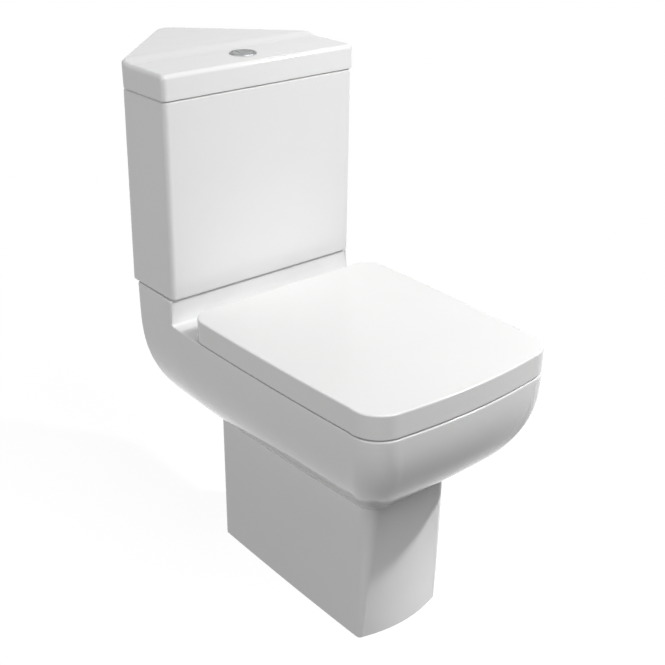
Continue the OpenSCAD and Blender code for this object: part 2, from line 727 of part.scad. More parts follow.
// the ring's rear corners are rounder than the lid's, so that the lid's wall turns past them
function ring_outline(inset) =
    outline(rim_half_width - inset, side_bow, rim_front - inset, front_bow,
            front_corner - inset / 2, seat_back - inset, seat_rear_corner + 10 - inset / 2);
cover_low = rim_height + 2;
ring_low = rim_height + 3;
ring_top = ring_low + ring_thickness;
ring_gap = cover_skirt + 2;
ring_hole_half_width = 108;
ring_hole_half_length = 138;
post_half = 7;
notch_half = post_half + 3.5;
lid_sweep = 17.3;
corner_sweep = 20.6;      // the same, at the rear corners
lug_r = 9;
barrel_r = 6.5;
pin_r = 4;
pin_bore = 4.05;
lug_low = post_half + 1;
lug_high = lug_low + 16;
// A cylinder along X, centred on the hinge axis
module axial(r, x0, x1) {
    translate([x0, 0, 0]) rotate([0, 90, 0]) cylinder(h = x1 - x0, r = r, $fn = curve_fn);
}
module hinge_side() {
    for (s = [0, 1]) mirror([s, 0, 0]) translate([hinge_half_span, hinge_y, hinge_z]) children();
}
// Closed loop through rings that lie one inside the other
module loop_through(rings) {
    n = len(rings[0]);
    m = len(rings);
    polyhedron(points = [for (r = rings) for (p = r) p],
        faces = [for (j = [0:m - 1]) for (i = [0:n - 1])
            let (k = (i + 1) % n, l = (j + 1) % m)
            each [[j * n + i, l * n + k, l * n + i], [j * n + i, j * n + k, l * n + k]]],
        convexity = 8);
}
function ring_hole(grow) =
    oval(ring_hole_half_width + grow, ring_hole_half_length + grow, mouth_y + 4);
module seat_ring() color(plastic_white) difference() {
    union() {
        difference() {
            loop_through([
                at(ring_outline(ring_gap + 2), ring_low), at(ring_outline(ring_gap), ring_low + 2),
                at(ring_outline(ring_gap), ring_top - 6), at(ring_outline(ring_gap + 1.5), ring_top - 2),
                at(ring_outline(ring_gap + 5), ring_top),
                at(ring_hole(22), ring_top), at(ring_hole(12), ring_top - 1.5),
                at(ring_hole(4), ring_top - 5), at(ring_hole(0), ring_top - 10),
                at(ring_hole(0), ring_low + 4), at(ring_hole(4), ring_low)]);
            // the lid's rear wall turns down behind the ring, round the hinge axis
            translate([0, hinge_y, hinge_z]) {
                axial(lid_sweep, -rim_half_width, rim_half_width);
                for (s = [0, 1]) mirror([s, 0, 0]) axial(corner_sweep, 128, rim_half_width);
                translate([-rim_half_width, -3, -30]) cube([2 * rim_half_width, 30, 60]);
            }
            hinge_side() translate([-notch_half, -post_half - 5, -30])
                cube([notch_half + lug_low, 40, 60]);
        }
        hinge_side() {
            axial(lug_r, lug_low, lug_high);
            translate([lug_low, -lid_sweep - 3, -8.5]) cube([lug_high - lug_low, lid_sweep + 3, 9.4]);
        }
    }
    hinge_side() axial(barrel_r, lug_low - 1, lug_high + 1);
}
module ring_dampers() color(fitting_grey) hinge_side() difference() {
    axial(barrel_r, lug_low, lug_high);
    axial(pin_bore, lug_low - 1, lug_high + 1);
}
heel = 16;               // rounding of the lid's rear lower edge, so that it clears the pan
module seat_lid() color(plastic_white) difference() {
    union() {
        skin_through([
            at(seat_outline(cover_skirt + 3), seat_top - cover_plate),
            at(seat_outline(cover_skirt), seat_top - cover_plate - 3),
            at(seat_outline(cover_skirt), cover_low + 1),
            at(seat_outline(cover_skirt - 1), cover_low),
            at(seat_outline(1), cover_low),
            at(seat_outline(0), cover_low + 1),
            at(seat_outline(0), seat_top - 4.5),
            at(seat_outline(1.3), seat_top - 1.3),
            at(seat_outline(4.5), seat_top)]);
        hinge_side() {
            axial(lug_r, -lug_high, -lug_low);
            translate([-lug_high, -5, 0])
                cube([lug_high - lug_low, 10, seat_top - cover_plate - hinge_z + 1]);
        }
    }
    hinge_side() axial(barrel_r, -lug_high - 1, -lug_low + 1);
    hinge_side() translate([-post_half - 0.6, 5, -30]) cube([post_half + lug_high + 3, 12, 30 + 12]);
    across(rim_half_width + 5) polygon(concat(
        [[seat_back - heel, cover_low - 5], [seat_back + 5, cover_low - 5],
         [seat_back + 5, cover_low + heel]],
        [for (i = [0:6]) let (a = -90 * i / 6)
            [seat_back - heel + heel * cos(a), cover_low + heel + heel * sin(a)]]));
}
module lid_dampers() color(fitting_grey) hinge_side() difference() {
    axial(barrel_r, -lug_high, -lug_low);
    axial(pin_bore, -lug_high - 1, -lug_low + 1);
}
module hinge_pins() color(chrome) hinge_side() axial(pin_r, -lug_high - 1, lug_high + 1);
plate_radius = 15;
plate_thick = 3.5;
gasket_thick = 1;
module base_plate(r, z0, z1) {
    neck = r / 2;
    translate([0, 0, z0]) linear_extrude(z1 - z0) union() {
        translate([hinge_half_span, hinge_hole_y]) circle(r, $fn = curve_fn);
        translate([hinge_half_span - neck, hinge_y - neck])
            square([2 * neck, hinge_hole_y - hinge_y + neck]);
    }
}
module hinge_posts() color(chrome) for (s = [0, 1]) mirror([s, 0, 0]) difference() {
    union() {
        base_plate(plate_radius, rim_height + gasket_thick, plate_top);
        translate([hinge_half_span, hinge_y, hinge_z]) {
            axial(post_half + 0.5, -post_half, post_half);
            translate([-post_half, -post_half - 0.5, rim_height + gasket_thick - hinge_z])
                cube([2 * post_half, 2 * post_half + 1, hinge_z - rim_height - gasket_thick]);
        }
    }
    translate([hinge_half_span, hinge_y, hinge_z]) axial(pin_r, -20, 20);
    translate([hinge_half_span, hinge_hole_y, 0]) {
        rod(3.2, rim_height - 5, rim_height + 20);
        translate([0, 0, plate_top - 3.2]) cylinder(h = 4.2, r1 = 3.2, r2 = 7.4, $fn = curve_fn);
    }
}
module hinge_gaskets() color(rubber) for (s = [0, 1]) mirror([s, 0, 0]) difference() {
    base_plate(plate_radius - 0.5, rim_height, rim_height + gasket_thick);
    translate([hinge_half_span, hinge_hole_y, 0]) rod(hinge_hole, rim_height - 5, rim_height + 20);
}
module at_hinge_holes() {
    both_sides(hinge_half_span) translate([0, hinge_hole_y, 0]) children();
}
plate_top = rim_height + gasket_thick + plate_thick;
module hinge_screws() color(chrome) at_hinge_holes() {
    rod(3, rim_height - 38, plate_top - 0.5);
    translate([0, 0, plate_top - 3.2]) cylinder(h = 3, r1 = 3, r2 = 6, $fn = curve_fn);
}
module hinge_plugs() color(rubber) at_hinge_holes()
    tube(hinge_hole, 3, rim_height - 34, rim_height + gasket_thick);
module buffer_places(y_front, x_front, y_rear, x_rear) {
    both_sides(x_front) translate([0, y_front, 0]) children();
    both_sides(x_rear) translate([0, y_rear, 0]) children();
}
module ring_buffers() color(plastic_white)
    buffer_places(-300, 135, -60, 145) rod(8, rim_height + gap, ring_low);
module lid_buffers() color(plastic_white)
    buffer_places(-300, 145, -60, 150) rod(6, ring_top + gap, seat_top - cover_plate);

pan();
cistern_body();
cistern_lid();
button_bezel();
button_nut();
button_gasket();
full_flush_button();
half_flush_button();
full_push_rod();
half_push_rod();
full_button_spring();
half_button_spring();
flush_valve_base();
flush_valve_tower();
flush_valve_cap();
lift_tube();
flush_seal();
flush_valve_washer();
flush_valve_nut();
doughnut_seal();
coupling_bolts();
coupling_rubber_washers();
coupling_head_washers();
coupling_under_washers();
coupling_wing_nuts();
fill_valve_body();
inlet_filter();
fill_valve_washer();
fill_valve_nut();
float_cup();
float_link();
float_lever();
float_lever_pin();
seat_ring();
ring_dampers();
ring_buffers();
seat_lid();
lid_dampers();
lid_buffers();
hinge_posts();
hinge_pins();
hinge_gaskets();
hinge_screws();
hinge_plugs();
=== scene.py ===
import json
import math
import bpy, bmesh
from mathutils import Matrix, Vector
from mathutils.geometry import delaunay_2d_cdt


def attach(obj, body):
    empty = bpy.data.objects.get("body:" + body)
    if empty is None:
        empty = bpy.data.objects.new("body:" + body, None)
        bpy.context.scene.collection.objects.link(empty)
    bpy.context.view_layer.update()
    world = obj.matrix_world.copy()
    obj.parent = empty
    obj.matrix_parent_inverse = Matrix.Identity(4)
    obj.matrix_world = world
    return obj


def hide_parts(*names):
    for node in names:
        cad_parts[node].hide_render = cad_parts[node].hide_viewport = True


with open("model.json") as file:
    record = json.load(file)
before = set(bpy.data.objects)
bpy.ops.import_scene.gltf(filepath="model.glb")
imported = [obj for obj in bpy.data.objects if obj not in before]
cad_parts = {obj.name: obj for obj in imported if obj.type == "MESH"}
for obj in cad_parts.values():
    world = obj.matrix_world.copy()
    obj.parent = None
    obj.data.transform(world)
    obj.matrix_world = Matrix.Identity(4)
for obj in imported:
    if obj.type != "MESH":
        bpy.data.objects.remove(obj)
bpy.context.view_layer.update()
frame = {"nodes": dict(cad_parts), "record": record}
MM = 0.001

# ---------------------------------------------------------------- camera and light
LENS, SENSOR, LOOK_DOWN, LOOK_ROUND = 60.14, 36, 25.90, -39.16
camera_data = bpy.data.cameras.new("camera")
camera_data.sensor_width = SENSOR
camera_data.lens = LENS
camera = bpy.data.objects.new("camera", camera_data)
camera.location = (-0.9834, -1.2818, 1.2081)
camera.rotation_euler = (math.radians(90 - LOOK_DOWN), 0, math.radians(LOOK_ROUND))
bpy.context.scene.collection.objects.link(camera)
bpy.context.scene.camera = camera
bpy.context.scene.view_settings.view_transform = "Standard"


def hang(name, data, place, aim):
    """Puts a lamp at the place and turns it to the aim."""
    lamp = bpy.data.objects.new(name, data)
    lamp.location = place
    lamp.rotation_euler = (Vector(aim) - Vector(place)).to_track_quat("-Z", "Y").to_euler()
    bpy.context.scene.collection.objects.link(lamp)


def soft_lamp(name, place, aim, size, power):
    data = bpy.data.lights.new(name, "AREA")
    data.shape = "RECTANGLE"
    data.size, data.size_y = size
    data.energy = power
    hang(name, data, place, aim)


def spot_lamp(name, place, aim, radius, opening, power):
    data = bpy.data.lights.new(name, "SPOT")
    data.energy, data.shadow_soft_size = power, radius
    data.spot_size, data.spot_blend = math.radians(opening), 1.0
    hang(name, data, place, aim)


# a small high key from the right gives the hard shadows, and a spot at its place lights the pedestal more;
# broad lamps fill the front and the left side
KEY_PLACE = (1.04, -0.95, 1.72)
soft_lamp("key", KEY_PLACE, (0, 0, 0.45), (0.09, 0.09), 18)
soft_lamp("front_fill", (0.3, -2.4, 3.2), (0, 0, 0.6), (2, 2), 60)
soft_lamp("left_fill", (-3.0, -0.6, 1.3), (0, 0, 0.45), (1.6, 2.2), 37)
soft_lamp("ceiling", (0, 0.2, 3.0), (0, 0, 0), (3.0, 3.0), 5)
spot_lamp("foot_spot", KEY_PLACE, (0.03, -0.29, -0.10), 0.045, 14.4, 108)


# ---------------------------------------------------------------- material wiring
class Wire:
    """A socket that adds Math nodes as it is used in an expression."""

    def __init__(self, kit, socket):
        self.kit, self.socket = kit, socket

    def calc(self, operation, *others):
        node = self.kit.make("ShaderNodeMath", operation=operation)
        for place, value in enumerate((self,) + others):
            self.kit.put(node.inputs[place], value)
        return Wire(self.kit, node.outputs[0])

    def __add__(self, other):
        return self.calc("ADD", other)

    def __sub__(self, other):
        return self.calc("SUBTRACT", other)

    def __mul__(self, other):
        return self.calc("MULTIPLY", other)

    def __truediv__(self, other):
        return self.calc("DIVIDE", other)

    def __rsub__(self, other):
        return (self * -1) + other

    __radd__ = __add__

    def within(self, low, high, soft):
        """1 between low and high, fading over soft."""
        up = ((self - low) / soft).calc("MAXIMUM", 0).calc("MINIMUM", 1)
        down = ((high - self) / soft).calc("MAXIMUM", 0).calc("MINIMUM", 1)
        return up * down


class Kit:
    """Makes and joins the nodes of one node tree."""

    def __init__(self, tree):
        self.tree = tree

    def make(self, kind, **settings):
        node = self.tree.nodes.new(kind)
        for key, value in settings.items():
            setattr(node, key, value)
        return node

    def put(self, socket, value):
        if isinstance(value, Wire):
            self.tree.links.new(value.socket, socket)
        elif value is not None:
            socket.default_value = value

    def node(self, kind, settings=None, out=0, **sockets):
        node = self.make(kind, **(settings or {}))
        for name, value in sockets.items():
            self.put(node.inputs[name.replace("_", " ")], value)
        return Wire(self, node.outputs[out])

    def mixed(self, amount, first, second):
        """A Mix Shader that goes from the first shader to the second."""
        node = self.make("ShaderNodeMixShader")
        for socket, value in zip(node.inputs, (amount, first, second)):
            self.put(socket, value)
        return Wire(self, node.outputs[0])

    def seen_directly(self):
        """1 where the camera, a reflection or a clear piece looks at the background."""
        path = self.make("ShaderNodeLightPath")
        camera_ray, glossy_ray, clear_ray = [
            Wire(self, path.outputs[name])
            for name in ("Is Camera Ray", "Is Glossy Ray", "Is Transmission Ray")]
        return camera_ray.calc("MAXIMUM", glossy_ray).calc("MAXIMUM", clear_ray)


class Finish(Kit):
    """One material and the nodes that make it."""

    def __init__(self, name, **shader):
        self.material = bpy.data.materials.new(name)
        self.material.use_nodes = True
        super().__init__(self.material.node_tree)
        self.shader = self.tree.nodes["Principled BSDF"]
        for socket, value in shader.items():
            self.set(socket.replace("_", " "), value)

    def set(self, socket, value):
        if isinstance(value, tuple) and len(value) == 3:
            value = (*value, 1)
        self.put(self.shader.inputs[socket], value)

    def place(self):
        """Where a point of the piece is, in metres."""
        return self.node("ShaderNodeTexCoord", out="Object")

    def cloud(self, scale, detail=3, rough=0.5, stretch=None):
        """Smooth noise from 0 to 1; scale is in lumps per metre."""
        where = self.place()
        if stretch:
            where = self.node("ShaderNodeVectorMath", {"operation": "MULTIPLY"}, Vector=where)
            where.socket.node.inputs[1].default_value = stretch
        return self.node("ShaderNodeTexNoise", Vector=where, Scale=scale, Detail=detail,
                         Roughness=rough)

    def blend(self, amount, low, high):
        """A colour between low and high."""
        node = self.make("ShaderNodeMix", data_type="RGBA")
        factor, low_colour, high_colour, colour_out = 0, 6, 7, 2
        self.put(node.inputs[factor], amount)
        self.put(node.inputs[low_colour], (*low, 1))
        self.put(node.inputs[high_colour], (*high, 1))
        return Wire(self, node.outputs[colour_out])

    def relief(self, height, depth, under=None):
        """Bump of that depth in metres."""
        node = self.make("ShaderNodeBump")
        node.inputs["Distance"].default_value = depth
        self.put(node.inputs["Height"], height)
        if under:
            self.put(node.inputs["Normal"], under)
        return Wire(self, node.outputs[0])


def glazed_ceramic():
    f = Finish("glazed_ceramic", IOR=1.5)
    drift = f.cloud(9, 2)
    f.set("Base Color", f.blend(drift, (0.83, 0.835, 0.835), (0.86, 0.86, 0.855)))
    f.set("Roughness", 0.07 + f.cloud(60, 3) * 0.06)
    slow = f.relief(f.cloud(22, 1), 0.0005)
    f.set("Normal", f.relief(f.cloud(420, 2), 0.00003, slow))
    return f.material


def moulded_seat():
    f = Finish("moulded_seat", IOR=1.47)
    drift = f.cloud(7, 2)
    f.set("Base Color", f.blend(drift, (0.845, 0.845, 0.84), (0.865, 0.865, 0.86)))
    f.set("Roughness", 0.12 + f.cloud(90, 3) * 0.08)
    slow = f.relief(f.cloud(14, 1), 0.0004)
    f.set("Normal", f.relief(f.cloud(900, 2), 0.00002, slow))
    return f.material


def plain_plastic(name, low, high, rough):
    f = Finish(name, IOR=1.48)
    f.set("Base Color", f.blend(f.cloud(40, 3), low, high))
    f.set("Roughness", rough + f.cloud(300, 2) * 0.15)
    f.set("Normal", f.relief(f.cloud(1800, 2), 0.00004))
    return f.material


def polished_chrome():
    f = Finish("polished_chrome")
    f.set("Metallic", 1.0)
    smear = f.cloud(180, 4, 0.6)
    patch = f.cloud(70, 3, 0.5)
    f.set("Base Color", f.blend(patch, (0.2, 0.205, 0.21), (0.36, 0.365, 0.37)))
    f.set("Roughness", 0.2 + smear * 0.18)
    f.set("Normal", f.relief(f.cloud(600, 2), 0.00001, f.relief(f.cloud(110, 2), 0.0006)))
    return f.material


def drawn_steel():
    f = Finish("drawn_steel")
    f.set("Metallic", 1.0)
    grain = f.cloud(400, 4, 0.6, (1, 1, 0.1))
    f.set("Base Color", f.blend(grain, (0.42, 0.42, 0.43), (0.56, 0.56, 0.57)))
    f.set("Roughness", 0.3 + grain * 0.2)
    f.set("Normal", f.relief(grain, 0.00003))
    return f.material


def turned_brass():
    f = Finish("turned_brass")
    f.set("Metallic", 1.0)
    tarnish = f.cloud(120, 4, 0.6)
    rings = f.cloud(60, 2, 0.5, (1, 1, 40))
    f.set("Base Color", f.blend(tarnish, (0.72, 0.52, 0.22), (0.5, 0.33, 0.13)))
    f.set("Roughness", 0.28 + tarnish * 0.25)
    f.set("Normal", f.relief(rings, 0.00006))
    return f.material


def black_rubber():
    f = Finish("black_rubber", IOR=1.5)
    bloom = f.cloud(150, 4, 0.6)
    f.set("Base Color", f.blend(bloom, (0.02, 0.02, 0.021), (0.05, 0.05, 0.052)))
    f.set("Roughness", 0.62 + bloom * 0.2)
    f.set("Normal", f.relief(f.cloud(1200, 3), 0.00008))
    return f.material


FINISHES = {
    "ceramic": glazed_ceramic(),
    "seat_plastic": moulded_seat(),
    "white_plastic": plain_plastic("natural_white_plastic", (0.76, 0.76, 0.74), (0.82, 0.82, 0.8), 0.4),
    "buffer_plastic": plain_plastic("soft_buffer_plastic", (0.66, 0.66, 0.64), (0.74, 0.74, 0.72), 0.6),
    "grey_plastic": plain_plastic("valve_grey_plastic", (0.3, 0.34, 0.38), (0.38, 0.42, 0.46), 0.38),
    "blue_plastic": plain_plastic("valve_blue_plastic", (0.05, 0.15, 0.32), (0.08, 0.2, 0.4), 0.36),
    "chrome": polished_chrome(),
    "spring_steel": drawn_steel(),
    "brass": turned_brass(),
    "rubber": black_rubber(),
}


def paint(obj, slot):
    obj.data.materials.clear()
    obj.data.materials.append(FINISHES[slot])


SLOT_OF = {part["node"]: part["material_slot"] for part in frame["record"]["subparts"]}
for node_name, node_object in frame["nodes"].items():
    if not node_object.material_slots:
        node_object.data.materials.append(FINISHES[SLOT_OF[node_name]])
    for place in node_object.material_slots:
        place.material = FINISHES[SLOT_OF[node_name]]


# ---------------------------------------------------------------- sizes, in millimetres
RIM_Z, RIM_HALF, RIM_FRONT, PAN_BACK = 450, 182, 384, 212
SHELF_Z, SHELF_FRONT, SHELF_COVE, SHELF_EDGE = 492, 106, 6, 6
FOOT_HALF, FOOT_FRONT, FOOT_BACK = 86, 256.5, 127.5
NECK_HALF, NECK_FRONT, NECK_BACK = 85, 260.5, 125
JUNCTION_Z, JUNCTION_RISE, RISE_START = 240.4, 10.8, 100
SKIN = 12
SIDE_BOW, SIDE_BOW_Y, REAR_BOW, PEDESTAL_BOW = 0.000092, -25, 0.8, 0.00006
FRONT_BOW, FRONT_CORNER, NECK_CORNER, FOOT_CORNER, FOOT_BOW = 0.00054, 49, 24, 8, 0.0022
MOUTH_HALF, MOUTH_LENGTH = 126, 156
MOUTH_Y = -RIM_FRONT + 52 + MOUTH_LENGTH
WATER_Y = -118
VALVE_Y, BOLT_X = 158, 75
HINGE_X, HINGE_Y, HINGE_Z, HINGE_HOLE_Y = 77.5, 37, 470, 62
SEAT_BACK, SEAT_REAR_CORNER, RING_CORNER_EXTRA = 50, 32, 10
LUG_R, LUG_START, LUG_END, DAMPER_R = 9, 8, 24, 6.5
LID_SWEEP, CORNER_SWEEP, CORNER_SWEEP_X = 17.3, 20.6, 128
COUPLING_HOLE_R = 5.5
TANK_LOW, TANK_TOP, TANK_WALL = 493.5, 808, 9


def mix(a, b, t):
    return a + (b - a) * t


def spread(a, b, n):
    """n values from a to b, both included."""
    return [mix(a, b, i / (n - 1)) for i in range(n)]


def arc(cx, cy, r, a0, a1, n):
    return [(cx + r * math.cos(math.radians(a)), cy + r * math.sin(math.radians(a)))
            for a in spread(a0, a1, n)]


def side_x(half, bow, y):
    """Half width at y: the sides bow out, and less behind their widest point."""
    return half - bow * (REAR_BOW if y > SIDE_BOW_Y else 1) * (y - SIDE_BOW_Y) ** 2


# where the side's points lie, as shares of its length; close together at the foot of the shelf
COVE_Y = [114, 112.6, 111, 109.4, 108, 107, 106.3, 105.9, 105.2, 104.2, 103, 101.5, 100, 98, 94]
REAR_R = 6
REAR_CORNER_Y = PAN_BACK - REAR_R
corner_x = side_x(RIM_HALF, SIDE_BOW, -RIM_FRONT + FRONT_CORNER * 1.5) - FRONT_CORNER
FRONT_CORNER_Y = -RIM_FRONT + FRONT_CORNER + FRONT_BOW * corner_x ** 2
side_ys = spread(REAR_CORNER_Y, 118, 12)[1:] + COVE_Y + spread(90, FRONT_CORNER_Y, 44)[:-1]
SIDE_SHARES = [(y - REAR_CORNER_Y) / (FRONT_CORNER_Y - REAR_CORNER_Y) for y in side_ys]
BACK_POINTS, FRONT_POINTS, CORNER_POINTS, WIDE_CORNER = 9, 14, 18, 12


def outline(half, bow, front, front_bow, corner, back, rear_r=REAR_R, shares=SIDE_SHARES):
    """Closed outline of the pan or the seat at one height, from the middle of the back round to it."""
    rear_w = side_x(half, bow, back - rear_r) - rear_r
    front_w = side_x(half, bow, -front + corner * 1.5) - corner
    corner_y = -front + corner + front_bow * front_w ** 2
    points = [(rear_w * (i + 0.5) / BACK_POINTS, back) for i in range(BACK_POINTS)]
    points += arc(rear_w, back - rear_r, rear_r, 90, 0, 8 if rear_r < WIDE_CORNER else 16)
    for t in shares:
        y = mix(back - rear_r, corner_y, t)
        points.append((side_x(half, bow, y), y))
    points += arc(front_w, corner_y, corner, 0, -90, CORNER_POINTS)
    for i in range(1, FRONT_POINTS + 1):
        x = front_w * (1 - (i - 0.5) / FRONT_POINTS)
        points.append((x, -front + front_bow * x * x))
    return points + [(-x, y) for x, y in reversed(points)]


def rim_outline(inset):
    return outline(RIM_HALF - inset, SIDE_BOW, RIM_FRONT - inset, FRONT_BOW, FRONT_CORNER - inset / 2,
                   PAN_BACK - inset)


def swell(t):
    """How far the bowl has widened, 0 to 1, at a share of its height; the powers fit its side view."""
    return (1 - (1 - t) ** 2.48) ** (1 / 0.972)


def bowl_outline(t, inset=0, back=PAN_BACK):
    s = swell(t)
    return outline(mix(NECK_HALF + 1.5, RIM_HALF, s) - inset, mix(PEDESTAL_BOW, SIDE_BOW, s),
                   mix(NECK_FRONT + 1.5, RIM_FRONT, s) - inset, FRONT_BOW * s,
                   mix(NECK_CORNER, FRONT_CORNER, s) - inset / 3, back)


def pedestal_outline(t, inset=0):
    return outline(mix(FOOT_HALF, NECK_HALF, t) - inset, PEDESTAL_BOW,
                   mix(FOOT_FRONT, NECK_FRONT, t) - inset, mix(FOOT_BOW, 0, t),
                   mix(FOOT_CORNER, NECK_CORNER, t) - inset / 3, mix(FOOT_BACK, NECK_BACK, t) - inset)


def oval(half_width, half_length, centre, like, power=2.35):
    """Rounded opening whose points lie in the same directions as those of the outline around it."""
    points = []
    for x, y in like:
        a = math.atan2(y - centre, x)
        k = (abs(math.cos(a) / half_width) ** power
             + abs(math.sin(a) / half_length) ** power) ** (-1 / power)
        points.append((k * math.cos(a), centre + k * math.sin(a)))
    return points


def at(points, z):
    """A level ring."""
    return [(x, y, z) for x, y in points]


def rise(y):
    """How much the junction of bowl and pedestal climbs there, towards the front."""
    return JUNCTION_RISE * max(0, RISE_START - y) / (RISE_START + NECK_FRONT)


def at_bowl(points, t, limit=RIM_Z, drop=0):
    """A ring round the bowl at a share of its height."""
    return [(x, y, min(mix(JUNCTION_Z + 2 + rise(y), RIM_Z - 4, t) - drop, limit)) for x, y in points]


def at_junction(points, drop=0, t=1):
    """A ring round the pedestal; at t = 1 it follows the climbing junction with the bowl."""
    return [(x, y, t * (JUNCTION_Z + rise(y)) - drop) for x, y in points]


def smooth_line(keys, steps):
    """A curve through the keys, each a tuple of numbers, with that many steps between two keys."""
    line = []
    for i in range(len(keys) - 1):
        p = [keys[max(i - 1, 0)], keys[i], keys[i + 1], keys[min(i + 2, len(keys) - 1)]]
        for j in range(steps):
            t = j / steps
            line.append(tuple(
                0.5 * (2 * b + (c - a) * t + (2 * a - 5 * b + 4 * c - d) * t * t
                       + (3 * b - a - 3 * c + d) * t ** 3)
                for a, b, c, d in zip(*p)))
    return line + [tuple(keys[-1])]


# ---------------------------------------------------------------- mesh building
def add_ring(work, ring):
    return [work.verts.new((x * MM, y * MM, z * MM)) for x, y, z in ring]


def skin_between(work, low, high):
    n = len(low)
    for i in range(n):
        work.faces.new((low[i], low[(i + 1) % n], high[(i + 1) % n], high[i]))


def skin(work, rings):
    """One skin through all the rings, which come back as vertices."""
    made = [add_ring(work, ring) for ring in rings]
    for low, high in zip(made, made[1:]):
        skin_between(work, low, high)
    return made


def fan(work, ring, z):
    """Closes a ring with triangles round its middle."""
    ys = [v.co.y for v in ring]
    middle = work.verts.new((0, (max(ys) + min(ys)) / 2, z * MM))
    for a, b in zip(ring, ring[1:] + ring[:1]):
        work.faces.new((middle, a, b))


def rounding(r, steps):
    """Inset and drop along a quarter round, from the upright side to the level top."""
    turns = [math.radians(a) for a in spread(0, 90, steps)]
    return [(r * (1 - math.cos(a)), r * (1 - math.sin(a))) for a in turns]


def dressed(mesh, name, body, slot, nodes, sharp=40):
    """Turns a finished mesh into a piece of the toilet."""
    obj = bpy.data.objects.new(name, mesh)
    bpy.context.scene.collection.objects.link(obj)
    for face in mesh.polygons:
        face.use_smooth = True
    mesh.set_sharp_from_angle(angle=math.radians(sharp))
    even = obj.modifiers.new("even_shading", "WEIGHTED_NORMAL")
    even.keep_sharp = True
    even.weight = 80
    paint(obj, slot)
    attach(obj, body)
    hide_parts(*nodes)
    return obj


def full_turn(sides):
    return [2 * math.pi * i / sides for i in range(sides)]


def circle(r, z, at_xy, sides):
    return [(at_xy[0] + r * math.cos(t), at_xy[1] + r * math.sin(t), z) for t in full_turn(sides)]


def capped(name, rings):
    """A solid with flat ends, through the rings."""
    work = bmesh.new()
    made = skin(work, rings)
    work.faces.new(made[0][::-1])
    work.faces.new(made[-1])
    return helper(work, name)


def drum(name, r, low, high, at_xy, sides=64):
    """A round cutter or core, standing up."""
    return capped(name, [circle(r, z, at_xy, sides) for z in (low, high)])


def pipe_core(name, start, end, r, sides=64):
    """A round cutter or core between two points."""
    a, b = Vector(start), Vector(end)
    along = (b - a).normalized()
    side = Vector((1, 0, 0)) if abs(along.x) < 0.9 else Vector((0, 1, 0))
    up = along.cross(side).normalized()
    side = up.cross(along)
    return capped(name, [[tuple(centre + (side * math.cos(t) + up * math.sin(t)) * r)
                          for t in full_turn(sides)] for centre in (a, b)])


def ball(name, centre, r):
    work = bmesh.new()
    bmesh.ops.create_uvsphere(work, u_segments=48, v_segments=24, radius=r * MM)
    bmesh.ops.translate(work, vec=Vector(centre) * MM, verts=work.verts)
    return helper(work, name)


def prism(name, outline_points, lift):
    """A straight block through an outline; lift turns a flat point and 0 or 1 into a place."""
    return capped(name, [[lift(a, b, end) for a, b in outline_points] for end in (0, 1)])


def slab(name, corner, opposite):
    """A box between two opposite corners."""
    low, high = zip(*(sorted(pair) for pair in zip(corner, opposite)))
    work = bmesh.new()
    bmesh.ops.create_cube(work, size=1)
    for v in work.verts:
        v.co = Vector([mix(a, b, c + 0.5) * MM for a, b, c in zip(low, high, v.co)])
    return helper(work, name)


def helper(work, name):
    """A bare object from the worked mesh: a skin, a core, a cutter or the floor."""
    bmesh.ops.recalc_face_normals(work, faces=work.faces)
    mesh = bpy.data.meshes.new(name)
    work.to_mesh(mesh)
    work.free()
    obj = bpy.data.objects.new(name, mesh)
    bpy.context.scene.collection.objects.link(obj)
    return obj


def shaped(base, *steps):
    """The mesh of base after the steps: each joins its tools to it (UNION) or takes them out (DIFFERENCE)."""
    tools = [(operation, tool) for operation, group in steps for tool in group]
    for operation, tool in tools:
        step = base.modifiers.new(operation.lower(), "BOOLEAN")
        step.operation, step.solver, step.object = operation, "MANIFOLD", tool
    graph = bpy.context.evaluated_depsgraph_get()
    mesh = bpy.data.meshes.new_from_object(base.evaluated_get(graph))
    for obj in [base] + [tool for _, tool in tools]:
        bpy.data.objects.remove(obj)
    return mesh


# ---------------------------------------------------------------- pan
def shelf_z(y):
    """Height of the pan's top: the deck, a tight cove, and the shelf that carries the cistern."""
    foot, edge = SHELF_FRONT - SHELF_COVE, SHELF_FRONT + SHELF_EDGE
    if y <= foot:
        return RIM_Z
    if y < SHELF_FRONT:
        return RIM_Z + SHELF_COVE - math.sqrt(SHELF_COVE ** 2 - (y - foot) ** 2)
    if y < edge:
        return SHELF_Z - SHELF_EDGE + math.sqrt(SHELF_EDGE ** 2 - (edge - y) ** 2)
    return SHELF_Z


def shelf_corner(y, z):
    """How far the shelf's upright front corner is rounded in at that place."""
    r, fade = 8, 12
    if y < SHELF_FRONT or y > SHELF_FRONT + r:
        return 0
    return (r - math.sqrt(r * r - (SHELF_FRONT + r - y) ** 2)) * min(max((z - RIM_Z) / fade, 0), 1)


RIM_EDGE, MOUTH_EDGE, EDGE_MARGIN = 2.2, 5, 1.2
UNDERSIDE_TOP, SUMP_Z = 438, 65
BOWL_RINGS = 44
